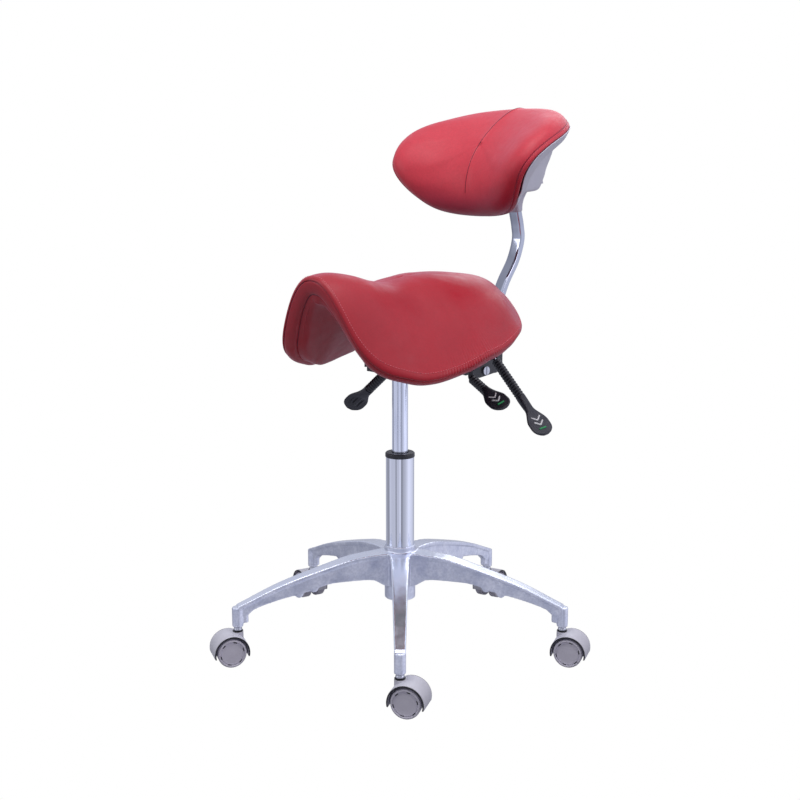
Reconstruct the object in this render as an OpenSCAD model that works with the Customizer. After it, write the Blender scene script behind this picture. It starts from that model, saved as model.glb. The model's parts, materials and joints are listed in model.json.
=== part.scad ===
// Saddle stool with a lumbar backrest, a gas lift and a five-arm caster base.
// Millimetres, +Z up. The origin is on the floor under the column.
// The sitter faces -Y, and +X is the sitter's left.

/* [Base] */
// Distance from the column to each caster stem
arm_r = 295; // [280:1:310]
// Direction of the first arm in degrees from +X
first_arm = -42; // [-60:1:-30]
// Number of arms
arm_count = 5; // [5:1:5]

/* [Casters] */
// Wheel radius
wheel_r = 25; // [23:0.5:26]
// Distance from the stem to the wheel axle
caster_trail = 15; // [14:0.5:17]
// Width over both wheels
caster_w = 45; // [43:1:46]

/* [Column] */
// Outer tube radius
tube_r = 25; // [24.5:0.1:25.2]
// Top of the outer tube
tube_top = 346; // [335:1:346]
// Pressure tube radius
lift_r = 14; // [13.5:0.1:14.5]

/* [Seat] */
// Thickness of the cushion at its edge
cushion_edge = 30; // [26:1:31]
// Extra thickness in the middle of the cushion
cushion_crown = 24; // [18:1:26]

/* [Backrest] */
// Radius of the backrest's wrap around the sitter
wrap_r = 195; // [190:1:205]
// Thickness of the backrest cushion
back_pad = 48; // [42:1:50]

/* [Hidden] */
$fn = 48;

// Colours
leather_red = [0.66, 0.16, 0.22];
bright_red = [0.80, 0.25, 0.29];
plastic_grey = [0.72, 0.72, 0.78];
caster_grey = [0.63, 0.62, 0.66];
chrome = [0.85, 0.86, 0.88];
steel = [0.70, 0.71, 0.74];
cast_metal = [0.78, 0.79, 0.82];
black = [0.12, 0.12, 0.13];

// Fits
running = 0.05;     // radial gap of a turning or sliding pair
gap = 0.4;          // gap between a cushion and the part that carries it

// Arms and hub
arm_step = 360 / arm_count;
hub_r = 27.5;
hub_bottom = 88;
hub_top = 186;
bore_r = 22;        // lower, turned-down end of the outer tube in the hub
boss_r = 9.6;
boss_bottom = 66;
boss_top = 99;
stem_r = 5.5;
arm_top_line = [[0, 178], [34, 175], [83, 171], [123, 162], [188, 144], [231, 130], [274, 112],
                [306, 99]];
arm_low_line = [[0, 112], [34, 116], [52, 127], [90, 129], [126, 128], [148, 124], [170, 117],
                [209, 110], [240, 103], [268, 94], [280, 84], [306, 84]];
arm_half_width = [[0, 26], [20, 22], [38, 18.4], [66, 16.4], [100, 15.3], [148, 13.4],
                  [206, 11.8], [276, 9.9], [295, 9.1]];
flange_t = 7;       // polished top band of an arm
web_inset = 3.2;    // the cast side is this far inside the top band

// Caster, in its own frame: stem on Z, wheels towards +X, axle along Y
web_half = 6;
wheel_gap = 0.8;
hood_r = 31;
hood_t = 2.6;
hood_cut = 18;
caster_top = 57;
axle_r = 4;
pin_r = 4;          // lower end of the stem, inside the housing
trail_angle = [31, 28, 108, 168, 248];

// Lift
tube_bottom = 94;
tube_wall = 2;
lift_bottom = 262;
lift_top = 509.5;
lift_wall = 1.5;
rod_r = 5;
valve_r = 3;
valve_top = 519.6;

// Mechanism
house_half = 30;
house_floor = 500;
house_top = 530;
house_front = -50;
house_rear = 160;
plate_t = 3;
socket_r = 20;
tilt_y = -40;
tilt_z = 516;
tilt_pin_r = 4;
pivot_y = 193;
pivot_z = 480;
pivot_pin_r = 5;
cheek_in = 15.5;
cheek_out = 19.5;
bracket_bolt_y = [128, 143];
seat_plate_z = 556;
seat_bolt_x = 45;
seat_bolt_y = [-48, 92];
board_t = 8;
board_inset = 0.2;
board_boss_r = 12;

// Levers: pivot, bend, tip of the paddle
height_lever = [[-38, 2, 507], [-42, 2, 488], [-142, 2, 410]];
seat_lever = [[40, 136, 509], [40, 134.5, 476], [140, 119, 436]];
back_lever = [[34, 196, 508.5], [41, 195, 503], [190, 170, 390]];
finger_tip = [0, 2, 524.4];   // end of the height lever, over the valve pin
hub_len = 9;
hub_wall = 3;
lever_pin_r = 2.5;
lever_rod_r = 3;
sleeve_r = 8.2;
ear_t = 2.8;

// ---------------------------------------------------------------- curves
function mix(a, b, t) = a + (b - a) * t;

// Point on a smooth curve through a, b, c, d, between b and c
function through(a, b, c, d, t) =
    0.5 * (2 * b + (c - a) * t + (2 * a - 5 * b + 4 * c - d) * t * t
           + (3 * b - a - 3 * c + d) * t * t * t);

// Smooth open curve through the points
function curve(p, n) = let (m = len(p)) concat(
    [for (i = [0:m - 2], k = [0:n - 1])
        through(i == 0 ? 2 * p[0] - p[1] : p[i - 1], p[i], p[i + 1],
                i == m - 2 ? 2 * p[m - 1] - p[m - 2] : p[i + 2], k / n)],
    [p[m - 1]]);

// Smooth closed curve through the points
function loop_curve(p, n) = let (m = len(p))
    [for (i = [0:m - 1], k = [0:n - 1])
        through(p[(i + m - 1) % m], p[i], p[(i + 1) % m], p[(i + 2) % m], k / n)];

function unit(v) = v / norm(v);

function mirrored(p) = concat(p, [for (i = [len(p) - 2:-1:1]) [-p[i][0], p[i][1]]]);

// ---------------------------------------------------------------- saddle surface
seat_mid = [0, 10];
// Height of the seat along its middle line
seat_ridge = curve([[-215, 670], [-165, 678], [-125, 675], [-85, 664], [-45, 657], [0, 662],
                    [45, 668], [100, 668], [150, 662], [195, 651], [240, 632]], 3);
// How sharply the seat falls away sideways, along the same line
seat_fall = curve([[-215, 0.0050], [-195, 0.0047], [-172, 0.0037], [-140, 0.0029],
                   [-100, 0.0022], [-50, 0.0016], [0, 0.00138], [50, 0.00122],
                   [100, 0.00114], [150, 0.0013], [200, 0.0021], [230, 0.0028]], 3);
seat_outline = loop_curve(mirrored([[0, -195], [72, -190], [115, -172], [148, -125], [176, -50],
                                    [191, 40], [176, 120], [112, 193], [0, 222]]), 3);
seat_rings = 8;

function seat_z(x, y) = lookup(y, seat_ridge) - lookup(y, seat_fall) * pow(abs(x), 2.2);
function seat_normal(x, y, e = 1) = unit([
    -(seat_z(x + e, y) - seat_z(x - e, y)) / (2 * e),
    -(seat_z(x, y + e) - seat_z(x, y - e)) / (2 * e), 1]);
function cushion_t(q) = cushion_edge + cushion_crown * (1 - q * q);

// One point, q of the way from the middle to outline point p, sunk by depth
function seat_point(p, q, depth) = let (
    x = mix(seat_mid[0], p[0], q), y = mix(seat_mid[1], p[1], q))
    [x, y, seat_z(x, y)] - depth * seat_normal(x, y);

// Rings of points from ring i0 outwards. below is the depth under the cushion's underside;
// below = -1 gives the top of the cushion. The last ring stops short of the edge by inset,
// a share of one ring's width, on the straight line from the ring before it.
function seat_ring(i, below) = let (q = i / seat_rings)
    [for (p = seat_outline) seat_point(p, q, below < 0 ? 0 : cushion_t(q) + below)];
function seat_layer(below, i0, inset = 0) = concat(
    [for (i = [i0:seat_rings - 1]) seat_ring(i, below)],
    [let (a = seat_ring(seat_rings - 1, below), b = seat_ring(seat_rings, below))
        [for (j = [0:len(b) - 1]) mix(b[j], a[j], inset)]]);

// ---------------------------------------------------------------- backrest surface
// Middle line of the backrest's parting surface, as [y, z]
back_line = curve([[203, 752], [202, 795], [211, 830], [231, 858], [259, 882], [293, 905],
                   [332, 932]], 6);
back_steps = len(back_line) - 1;
function back_run(i) = i == 0 ? 0 : back_run(i - 1) + norm(back_line[i] - back_line[i - 1]);
back_y = [for (i = [0:back_steps]) [back_run(i), back_line[i][0]]];
back_z = [for (i = [0:back_steps]) [back_run(i), back_line[i][1]]];
back_len = back_run(back_steps);
back_mid = 108;
flare = 0.62;       // how far the leaning top turns outwards at the ends
back_outline = loop_curve(mirrored([[0, 10], [92, 22], [157, 62], [184, 108], [158, 174],
                                    [88, back_len - 16], [0, back_len - 4]]), 4);
back_rings = 7;

function back_point(s, h) = let (
    lean = lookup(h, back_y) - 203,
    a = s / wrap_r * 180 / PI)
    [(wrap_r + flare * lean) * sin(a),
     203 - wrap_r + (wrap_r + flare * lean) * cos(a) + (1 - flare) * lean,
     lookup(h, back_z)];
function back_normal(s, h, e = 1) = unit(cross(
    back_point(s, h + e) - back_point(s, h - e), back_point(s + e, h) - back_point(s - e, h)));

// The hump on the back of the shell, over the bar's slide
hump_depth = curve([[796, 0], [803, 70], [808, 116], [832, 122], [851, 113], [871, 98],
                    [890, 68], [905, 30], [916, 4], [930, 0]], 2);
hump_half = 60;
function hump(p) = lookup(p[2], hump_depth) / (1 + pow(abs(p[0]) / hump_half, 4))
    * (p[2] < 796 || p[2] > 930 ? 0 : 1);

function back_at(p, q) = [p[0] * q, mix(back_mid, p[1], q)];
function back_layer(front, edge, humped) = [for (i = [1:back_rings]) let (q = i / back_rings)
    [for (p = back_outline) let (
        c = back_at(p, q), s = c[0], h = c[1], w = back_point(s, h),
        lift = mix(front, edge, pow(q, 8)))
        w - lift * back_normal(s, h) + [0, humped ? hump(w) : 0, 0]]];
function back_centre(front, humped) = let (w = back_point(0, back_mid))
    w - front * back_normal(0, back_mid) + [0, humped ? hump(w) : 0, 0];

// ---------------------------------------------------------------- solids from rings
function ring_faces(i, m, flip) = [for (j = [0:m - 1]) let (
    a = i * m + j, b = i * m + (j + 1) % m, c = a + m, d = b + m)
    each flip ? [[a, b, c], [b, d, c]] : [[a, c, b], [b, c, d]]];

// The same band split along its other diagonal, so that the two faces of a slab are split alike
function back_faces(i, m) = [for (j = [0:m - 1]) let (
    a = i * m + j, b = i * m + (j + 1) % m, c = a + m, d = b + m)
    each [[a, b, d], [a, d, c]]];

// Closed slab between two stacks of rings, each with a middle point
module slab(top, top_mid, low, low_mid) {
    m = len(top[0]);
    n = len(top);
    all_rings = concat(top, [for (i = [n - 1:-1:0]) low[i]]);
    points = concat([for (r = all_rings) each r], [top_mid, low_mid]);
    last = 2 * n * m;
    polyhedron(points = points, convexity = 6, faces = concat(
        [for (i = [0:n - 1]) each ring_faces(i, m, true)],
        [for (i = [n:2 * n - 2]) each back_faces(i, m)],
        [for (j = [0:m - 1]) [(j + 1) % m, j, last]],
        [for (j = [0:m - 1]) [last - m + j, last - m + (j + 1) % m, last + 1]]));
}

// Closed frame-shaped skin between two stacks of rings, open in the middle
module frame_skin(top, low) {
    m = len(top[0]);
    n = len(top);
    all_rings = concat(top, [for (i = [n - 1:-1:0]) low[i]], [top[0]]);
    points = [for (i = [0:2 * n - 1]) each all_rings[i]];
    count = 2 * n * m;
    polyhedron(points = points, convexity = 6, faces = concat(
        [for (i = [0:n - 1]) each ring_faces(i, m, true)],
        [for (i = [n:2 * n - 2]) each back_faces(i, m)],
        [for (j = [0:m - 1]) let (a = count - m + j, b = count - m + (j + 1) % m,
            c = j, d = (j + 1) % m) each [[a, b, c], [b, d, c]]]));
}

// Closed bar through a row of rings
module sweep(rings) {
    m = len(rings[0]);
    n = len(rings);
    polyhedron(points = [for (r = rings) each r], convexity = 6, faces = concat(
        [[for (j = [0:m - 1]) j]],
        [for (i = [0:n - 2]) each ring_faces(i, m, false)],
        [[for (j = [m - 1:-1:0]) (n - 1) * m + j]]));
}

// Places children with their +Z along the line from p to q
module along(p, q) {
    v = q - p;
    translate(p)
        rotate([0, acos(v[2] / norm(v)), atan2(v[1], v[0])])
            children();
}

module ring(r_in, r_out, h) {
    difference() {
        cylinder(r = r_out, h = h);
        translate([0, 0, -1]) cylinder(r = r_in, h = h + 2);
    }
}

module pin_y(r, y0, y1) {
    translate([0, y1, 0]) rotate([90, 0, 0]) cylinder(r = r, h = y1 - y0);
}

module pin_x(r, x0, x1) {
    translate([x0, 0, 0]) rotate([0, 90, 0]) cylinder(r = r, h = x1 - x0);
}

// ---------------------------------------------------------------- base
module arm_slice(top, low, drop, inset) {
    top_line = curve(top, 3);
    low_line = low == [] ? [for (p = top_line) [p[0], p[1] - drop]] : curve(low, 2);
    side = concat(top_line, [for (i = [len(low_line) - 1:-1:0]) low_line[i]]);
    plan = concat([for (p = arm_half_width) [p[0], p[1] - inset]],
                  [for (i = [len(arm_half_width) - 1:-1:0])
                      [arm_half_width[i][0], inset - arm_half_width[i][1]]]);
    intersection() {
        translate([0, 30, 0])
            rotate([90, 0, 0])
                linear_extrude(height = 60) polygon(side);
        translate([0, 0, 60]) linear_extrude(height = 140) polygon(plan);
    }
}

module arm() {
    arm_slice(arm_top_line, [], flange_t, 0);
    arm_slice(arm_top_line, arm_low_line, 0, web_inset);
    for (pad = [[160, 122], [187, 115]])
        translate([pad[0], 0, pad[1]]) pin_y(7.5, -9, 9);
    translate([arm_r, 0, boss_bottom]) cylinder(r = boss_r, h = boss_top - boss_bottom + 1.5);
    translate([arm_r - 13, 0, boss_bottom + 6]) cylinder(r = 6, h = 24);
}

module at_arms() {
    for (k = [0:arm_count - 1])
        rotate([0, 0, first_arm + k * arm_step]) children();
}

module base_casting() {
    color(cast_metal) difference() {
        union() {
            translate([0, 0, hub_bottom]) cylinder(r = hub_r, h = hub_top - hub_bottom);
            at_arms() arm();
        }
        translate([0, 0, hub_bottom - 1]) cylinder(r = bore_r, h = hub_top - hub_bottom + 2);
        translate([0, 0, hub_top - 6]) cylinder(r = tube_r, h = 8);
        at_arms() translate([arm_r, 0, boss_bottom - 1]) cylinder(r = stem_r, h = 26);
    }
}

module outer_tube() {
    color(chrome) difference() {
        union() {
            translate([0, 0, tube_bottom]) cylinder(r = bore_r, h = hub_top - 6 - tube_bottom);
            translate([0, 0, hub_top - 6]) cylinder(r = tube_r, h = tube_top - hub_top + 6);
        }
        translate([0, 0, tube_bottom + 4]) cylinder(r = bore_r - 2, h = hub_top - tube_bottom);
        translate([0, 0, hub_top]) cylinder(r = tube_r - tube_wall, h = tube_top - hub_top + 1);
        translate([0, 0, tube_bottom - 1]) cylinder(r = rod_r + 0.5, h = 8);
    }
}

module guide_bush() {
    color(black) difference() {
        union() {
            translate([0, 0, tube_top]) cylinder(r = tube_r + 1, h = 8);
            translate([0, 0, tube_top - 70]) cylinder(r = tube_r - tube_wall, h = 71);
        }
        translate([0, 0, tube_top - 71]) cylinder(r = lift_r + running, h = 90);
        translate([0, 0, tube_top + 6.5]) cylinder(r = lift_r + 1.5, h = 4);
    }
}

module thrust_bearing() {
    color(steel) translate([0, 0, tube_bottom + 4]) ring(rod_r + 0.5, 13, 5);
}

module caster_stems() {
    color(steel) at_arms() translate([arm_r, 0, 0]) union() {
        translate([0, 0, caster_top + 3]) cylinder(r = stem_r, h = 30);
        translate([0, 0, 36]) cylinder(r = pin_r, h = caster_top - 32);
    }
}

module stem_collars() {
    color(steel) at_arms() translate([arm_r, 0, caster_top + 3]) ring(stem_r, 7, 4.5);
}

// ---------------------------------------------------------------- lift
module piston_rod() {
    color(steel) union() {
        translate([0, 0, tube_bottom + 9.2]) cylinder(r = 9, h = 3);
        translate([0, 0, tube_bottom - 3]) cylinder(r = rod_r, h = 286 - tube_bottom);
    }
}

module piston() {
    color(black) translate([0, 0, 283]) difference() {
        cylinder(r = lift_r - lift_wall - running, h = 14);
        translate([0, 0, -1]) cylinder(r = rod_r, h = 1);
        for (z = [4, 9]) translate([0, 0, z]) ring(lift_r - lift_wall - 1.2, lift_r, 1.6);
    }
}

module pressure_tube() {
    color(chrome) difference() {
        translate([0, 0, lift_bottom]) cylinder(r = lift_r, h = lift_top - lift_bottom);
        translate([0, 0, lift_bottom - 1])
            cylinder(r = lift_r - lift_wall, h = lift_top - lift_bottom - 5);
        translate([0, 0, lift_top - 8]) cylinder(r = valve_r + running, h = 10);
    }
}

module rod_seal_plug() {
    color(black) translate([0, 0, lift_bottom]) ring(rod_r + running, lift_r - lift_wall, 16);
}

module valve_pin() {
    color(steel) translate([0, 0, lift_top - 12]) cylinder(r = valve_r, h = valve_top - lift_top + 12);
}

// ---------------------------------------------------------------- mechanism
module taper_socket() {
    color(black) union() {
        translate([0, 0, house_floor - 16]) ring(lift_r, socket_r, 23.5);
        translate([0, 0, house_floor + plate_t]) ring(lift_r, socket_r + 4, 3);
    }
}

// Two ears from a wall out to a lever's pin
module lever_ears(p, wall_x) {
    reach = abs(p[0] - wall_x) + 7;
    for (s = [-1, 1])
        translate([p[0] < 0 ? wall_x - reach : wall_x,
                   p[1] + s * (hub_len / 2 + 0.5 + ear_t / 2) - ear_t / 2, p[2] - 6.5])
            cube([reach, ear_t, 13]);
}

module mechanism_housing() {
    length = house_rear - house_front;
    color(black) difference() {
        union() {
            difference() {
                translate([-house_half, house_front, house_floor])
                    cube([2 * house_half, length, house_top - house_floor]);
                translate([-house_half + plate_t, house_front + plate_t, house_floor + plate_t])
                    cube([2 * (house_half - plate_t), length, house_top]);
            }
            lever_ears(height_lever[0], -house_half);
            lever_ears(seat_lever[0], house_half);
        }
        translate([0, 0, house_floor - 1]) cylinder(r = socket_r, h = plate_t + 2);
        translate([0, tilt_y, tilt_z]) pin_x(tilt_pin_r, -40, 40);
        translate([-house_half - 1, height_lever[0][1] - 4.5, house_floor + plate_t])
            cube([plate_t + 2, 9, 18]);
        translate([house_half - plate_t - 1, seat_lever[0][1] - 4.5, house_floor + plate_t])
            cube([plate_t + 2, 9, 14]);
        for (l = [height_lever, seat_lever]) translate(l[0]) pin_y(lever_pin_r, -12, 12);
        for (y = bracket_bolt_y)
            translate([0, y, house_floor - 1]) cylinder(r = 3, h = plate_t + 2);
    }
}

module rear_bracket() {
    base_z = house_floor + plate_t;
    cheek = [[150, base_z], [162.5, base_z], [162.5, 473], [178, 468], [238, 476], [238, 514],
             [226, 527], [150, 527]];
    color(black) difference() {
        union() {
            translate([-cheek_out, 118, base_z]) cube([2 * cheek_out, 42, 3]);
            for (x = [-cheek_out, cheek_in]) translate([x, 0, 0])
                rotate([90, 0, 90]) linear_extrude(height = cheek_out - cheek_in) polygon(cheek);
            lever_ears(back_lever[0], cheek_out - 1);
        }
        translate([0, pivot_y, pivot_z]) pin_x(pivot_pin_r, -30, 30);
        translate(back_lever[0]) pin_y(lever_pin_r, -12, 12);
        for (y = bracket_bolt_y) translate([0, y, base_z - 1]) cylinder(r = 3, h = 5);
    }
}

module seat_tilt_pin() {
    color(steel) translate([0, tilt_y, tilt_z]) union() {
        pin_x(tilt_pin_r, -36, 36);
        pin_x(tilt_pin_r + 2, 36, 38.5);
        pin_x(tilt_pin_r + 2, -38.5, -36);
    }
}

// Pivot pin of the backrest bar, with a slotted head
module back_pivot_pin() {
    color(steel) translate([0, pivot_y, pivot_z]) difference() {
        union() {
            pin_x(pivot_pin_r, -cheek_out - 2.5, cheek_out);
            pin_x(8, cheek_out, cheek_out + 3.5);
            pin_x(7, -cheek_out - 5, -cheek_out);
        }
        translate([cheek_out + 2, -0.9, -10]) cube([4, 1.8, 20]);
    }
}

module lever_pins() {
    half = hub_len / 2 + 0.5 + ear_t;
    color(steel) for (l = [height_lever, seat_lever, back_lever])
        translate(l[0]) pin_y(lever_pin_r, -half, half);
}

module bracket_screws() {
    color(steel) for (y = bracket_bolt_y)
        translate([0, y, house_floor - 3]) union() {
            cylinder(r = 5, h = 3);
            cylinder(r = 3, h = 10);
        }
}

// Torsion spring around the pivot pin, beside the bar's foot
module back_spring() {
    turns = 3;
    steps = 24;
    wire = 0.9;
    coil_r = 7.2;
    pitch = 2.2;
    color(steel) translate([-13.6, pivot_y, pivot_z])
        sweep([for (i = [0:turns * steps]) let (a = 360 * i / steps)
            [for (j = [0:7]) let (b = -45 * j, r = coil_r + wire * cos(b))
                [pitch * i / steps + wire * sin(b), r * cos(a), r * sin(a)]]]);
}

// ---------------------------------------------------------------- levers
// Rod with a hub across its pivot, a bend, and a short finger inwards to inner
module lever_rod(l, inner) {
    end = l[2] + 30 * unit(l[1] - l[2]);
    color(steel) difference() {
        union() {
            translate(l[0]) pin_y(lever_pin_r + hub_wall, -hub_len / 2, hub_len / 2);
            for (seg = [[inner, l[0]], [l[0], l[1]], [l[1], end]])
                along(seg[0], seg[1]) cylinder(r = lever_rod_r, h = norm(seg[1] - seg[0]));
            translate(l[1]) sphere(r = lever_rod_r + 0.3);
            translate(inner) sphere(r = 4);
        }
        translate(l[0]) pin_y(lever_pin_r + running, -12, 12);
    }
}

// Ribbed rubber sleeve from a to b, measured from the lever's bend
module lever_sleeve(l, a, b) {
    ribs = floor((b - a) / 6.2);
    pitch = (b - a) / ribs;
    root_r = sleeve_r - 1.6;
    wall = concat([[lever_rod_r, 0]],
        [for (i = [0:ribs - 1]) each [
            [root_r, i * pitch], [sleeve_r, (i + 0.25) * pitch],
            [sleeve_r, (i + 0.65) * pitch], [root_r, (i + 0.9) * pitch]]],
        [[root_r, b - a], [lever_rod_r, b - a]]);
    color(black) along(l[1] + a * unit(l[2] - l[1]), l[2]) rotate_extrude() polygon(wall);
}

// Spoon-shaped paddle with its broad face up, from a to the tip
module lever_paddle(l, a) {
    long = norm(l[2] - l[1]) - a;
    color(black) along(l[1] + a * unit(l[2] - l[1]), l[2]) difference() {
        union() {
            hull() {
                translate([0, 0, 1]) cylinder(r = 8.4, h = 1, $fn = 32);
                translate([0, 0, 12]) cylinder(r = 8.2, h = 1, $fn = 32);
                translate([-2, 0, long - 30]) scale([0.38, 1, 1]) sphere(r = 15, $fn = 32);
            }
            hull() {
                translate([-2, 0, long - 34]) scale([0.36, 1, 1]) sphere(r = 16, $fn = 32);
                translate([-2, 0, long - 18]) scale([0.32, 1, 1]) sphere(r = 18, $fn = 32);
            }
        }
        translate([0, 0, -1]) cylinder(r = lever_rod_r, h = long - 29);
    }
}

// ---------------------------------------------------------------- seat
module seat_plate() {
    color(black) difference() {
        union() {
            translate([-58, -62, seat_plate_z]) cube([116, 170, 3.5]);
            for (x = [house_half + 0.6, -house_half - 4.1])
                translate([x, tilt_y - 12, tilt_z - 9])
                    cube([3.5, 24, seat_plate_z - tilt_z + 10]);
        }
        translate([0, tilt_y, tilt_z]) pin_x(tilt_pin_r + running, -40, 40);
        for (x = [-seat_bolt_x, seat_bolt_x], y = seat_bolt_y)
            translate([x, y, seat_plate_z - 1]) cylinder(r = 3.2, h = 6);
        translate([0, 0, seat_plate_z - 1]) cylinder(r = 12, h = 6);
    }
}

module seat_bolts() {
    color(steel) for (x = [-seat_bolt_x, seat_bolt_x], y = seat_bolt_y)
        translate([x, y, seat_plate_z - 4.5]) union() {
            cylinder(r = 5.8, h = 4.5, $fn = 6);
            cylinder(r = 3, h = 36);
        }
}

module seat_board() {
    top_mid = seat_point(seat_outline[0], 0, cushion_t(0) + gap);
    low_mid = seat_point(seat_outline[0], 0, cushion_t(0) + gap + board_t);
    color(black) difference() {
        union() {
            slab(seat_layer(gap, 1, board_inset), top_mid,
                 seat_layer(gap + board_t, 1, board_inset), low_mid);
            for (x = [-seat_bolt_x, seat_bolt_x], y = seat_bolt_y)
                translate([x, y, seat_plate_z + 3.5])
                    cylinder(r = board_boss_r, h = seat_z(x, y) - cushion_t(0.45) - 3 - seat_plate_z - 3.5);
        }
        for (x = [-seat_bolt_x, seat_bolt_x], y = seat_bolt_y)
            translate([x, y, seat_plate_z]) cylinder(r = 3.1, h = 36);
    }
}

module seat_undercover() {
    color(leather_red) difference() {
        frame_skin(seat_layer(2 * gap + board_t, 4, board_inset),
                   seat_layer(2 * gap + board_t + 1.4, 4, board_inset));
        for (x = [-seat_bolt_x, seat_bolt_x], y = seat_bolt_y)
            translate([x, y, seat_plate_z]) cylinder(r = board_boss_r + 1, h = 80);
    }
}

module seat_cushion() {
    top_mid = seat_point(seat_outline[0], 0, 0);
    low_mid = seat_point(seat_outline[0], 0, cushion_t(0));
    color(leather_red) slab(seat_layer(-1, 1), top_mid, seat_layer(0, 1), low_mid);
}

// ---------------------------------------------------------------- backrest bar
bar_lean = unit([262 - 288, 868 - 762]);
bar_line = concat(
    curve([[213, 488.2], [221, 540], [236, 590], [257, 636], [283, 676], [296, 713],
           [294, 738], [288, 762]], 4),
    [[288, 762] + 109 * bar_lean]);
bar_w = 24;
bar_t = 12;

// Rounded bar outline as [x, across the bar's thickness]
function bar_ring(n) = [for (i = [0:n - 1]) let (a = 360 * (i + 0.5) / n, e = 0.45)
    [bar_w / 2 * sign(cos(a)) * pow(abs(cos(a)), e), bar_t / 2 * sign(sin(a)) * pow(abs(sin(a)), e)]];

module back_bar() {
    m = len(bar_line);
    shape = bar_ring(20);
    color(chrome) sweep([for (i = [0:m - 1]) let (
        a = bar_line[max(i - 1, 0)], b = bar_line[min(i + 1, m - 1)],
        v = i >= m - 2 ? bar_lean : unit(b - a))
            [for (c = shape) [c[0], bar_line[i][0] + c[1] * v[1], bar_line[i][1] - c[1] * v[0]]]]);
}

// Pivoting block with a pocket for the bar's lower end
module bar_foot() {
    color(black) difference() {
        union() {
            translate([0, pivot_y, pivot_z]) pin_x(9, -4, 15.2);
            translate([-4, pivot_y, pivot_z - 7]) cube([19.2, 16, 14]);
            translate([-15.2, 203, pivot_z - 8]) cube([30.4, 25, 30]);
        }
        translate([0, pivot_y, pivot_z]) pin_x(pivot_pin_r + running, -20, 20);
        translate([-12.2, 206, 488]) cube([24.4, 17, 40]);
    }
}

// Places children in the frame of the bar's straight top: +Z up the bar, +Y to the rear
module at_bar_top() {
    translate([0, 288, 762])
        rotate([atan2(-bar_lean[0], bar_lean[1]), 0, 0]) children();
}

screw_x = 30;
screw_z = 54;
slide_low = 42;
slide_len = 56;

// Slide on the straight top of the bar, with a wing for the shell's screws
module bar_sleeve() {
    clear = 0.1;
    wall = 3.6;
    color(plastic_grey) at_bar_top() difference() {
        union() {
            translate([-bar_w / 2 - wall, -bar_t / 2 - wall, slide_low])
                cube([bar_w + 2 * wall, bar_t + 2 * wall, slide_len]);
            translate([-38, 2, screw_z - 8]) cube([76, 42, 16]);
        }
        translate([-bar_w / 2 - clear, -bar_t / 2 - clear, -10])
            cube([bar_w + 2 * clear, bar_t + 2 * clear, 140]);
        for (x = [-screw_x, screw_x]) translate([x, 0, screw_z]) pin_y(2, 22, 60);
    }
}

module shell_screws() {
    color(steel) at_bar_top() for (x = [-screw_x, screw_x])
        translate([x, 0, screw_z]) union() {
            pin_y(2, 24, 50);
            pin_y(4, 48, 51);
        }
}

module back_shell() {
    color(plastic_grey) difference() {
        slab(back_layer(-gap, -gap, true), back_centre(-gap, true),
             back_layer(-gap - 3, -gap - 3, true), back_centre(-gap - 3, true));
        at_bar_top() translate([-17, -11, 0]) cube([34, 22, 60]);
        at_bar_top() for (x = [-screw_x, screw_x])
            translate([x, 0, screw_z]) pin_y(4.6, 40, 80);
    }
}

module back_cushion() {
    color(bright_red)
        slab(back_layer(back_pad, back_pad * 0.66, false), back_centre(back_pad, false),
             back_layer(0, 0, false), back_centre(0, false));
}

// ---------------------------------------------------------------- casters
module at_caster(k) {
    rotate([0, 0, first_arm + (k - 1) * arm_step])
        translate([arm_r, 0, 0])
            rotate([0, 0, trail_angle[k - 1] - first_arm - (k - 1) * arm_step])
                children();
}

module at_axle() {
    translate([caster_trail, 0, wheel_r]) children();
}

module caster_housing(k) {
    half = caster_w / 2;
    color(caster_grey) at_caster(k) difference() {
        union() {
            at_axle() difference() {
                pin_y(hood_r, -half, half);
                pin_y(hood_r - hood_t, -half - 1, -web_half);
                pin_y(hood_r - hood_t, web_half, half + 1);
            }
            translate([0, 0, 40]) cylinder(r = 9.4, h = caster_top - 40);
        }
        for (s = [-1, 1]) at_axle()
            pin_y(hood_r - hood_t, s > 0 ? web_half : -half - 1, s > 0 ? half + 1 : -web_half);
        translate([-60, -60, -20]) cube([120, 120, hood_cut + 20]);
        translate([0, 0, 30]) cylinder(r = pin_r + running, h = 40);
        at_axle() pin_y(axle_r + running, -web_half - 1, web_half + 1);
    }
}

module caster_trim(k) {
    half = caster_w / 2;
    color(black) at_caster(k) difference() {
        at_axle() for (s = [-1, 1]) translate([0, s > 0 ? half : -half - 1.2, 0]) difference() {
            pin_y(hood_r - 0.4, 0, 1.2);
            pin_y(hood_r - hood_t, -1, 2);
        }
        translate([-60, -60, -20]) cube([120, 120, hood_cut + 20]);
    }
}

module caster_axle(k) {
    color(steel) at_caster(k) at_axle()
        pin_y(axle_r, -caster_w / 2 + 2, caster_w / 2 - 2);
}

// One wheel: rounded tread, raised rim ring and six slots on its outer face
module wheel() {
    w = caster_w / 2 - web_half - wheel_gap;
    r = wheel_r;
    side = [[axle_r, 0], [r - 1.5, 0], [r - 0.45, 0.45], [r, 1.5], [r, w - 2], [r - 0.6, w - 0.6],
            [r - 2, w], [r - 3.4, w], [r - 3.9, w - 0.7], [0, w - 0.7], [0, w - 2],
            [axle_r, w - 2]];
    difference() {
        rotate_extrude() polygon(side);
        for (a = [0:60:300]) rotate([0, 0, a + 15])
            translate([r - 5.6, -2, w - 1.6]) cube([1.2, 4, 4]);
    }
}

module caster_wheels(k) {
    color(caster_grey) at_caster(k) at_axle() for (s = [-1, 1])
        rotate([s > 0 ? -90 : 90, 0, 0]) translate([0, 0, web_half + wheel_gap]) wheel();
}

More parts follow.
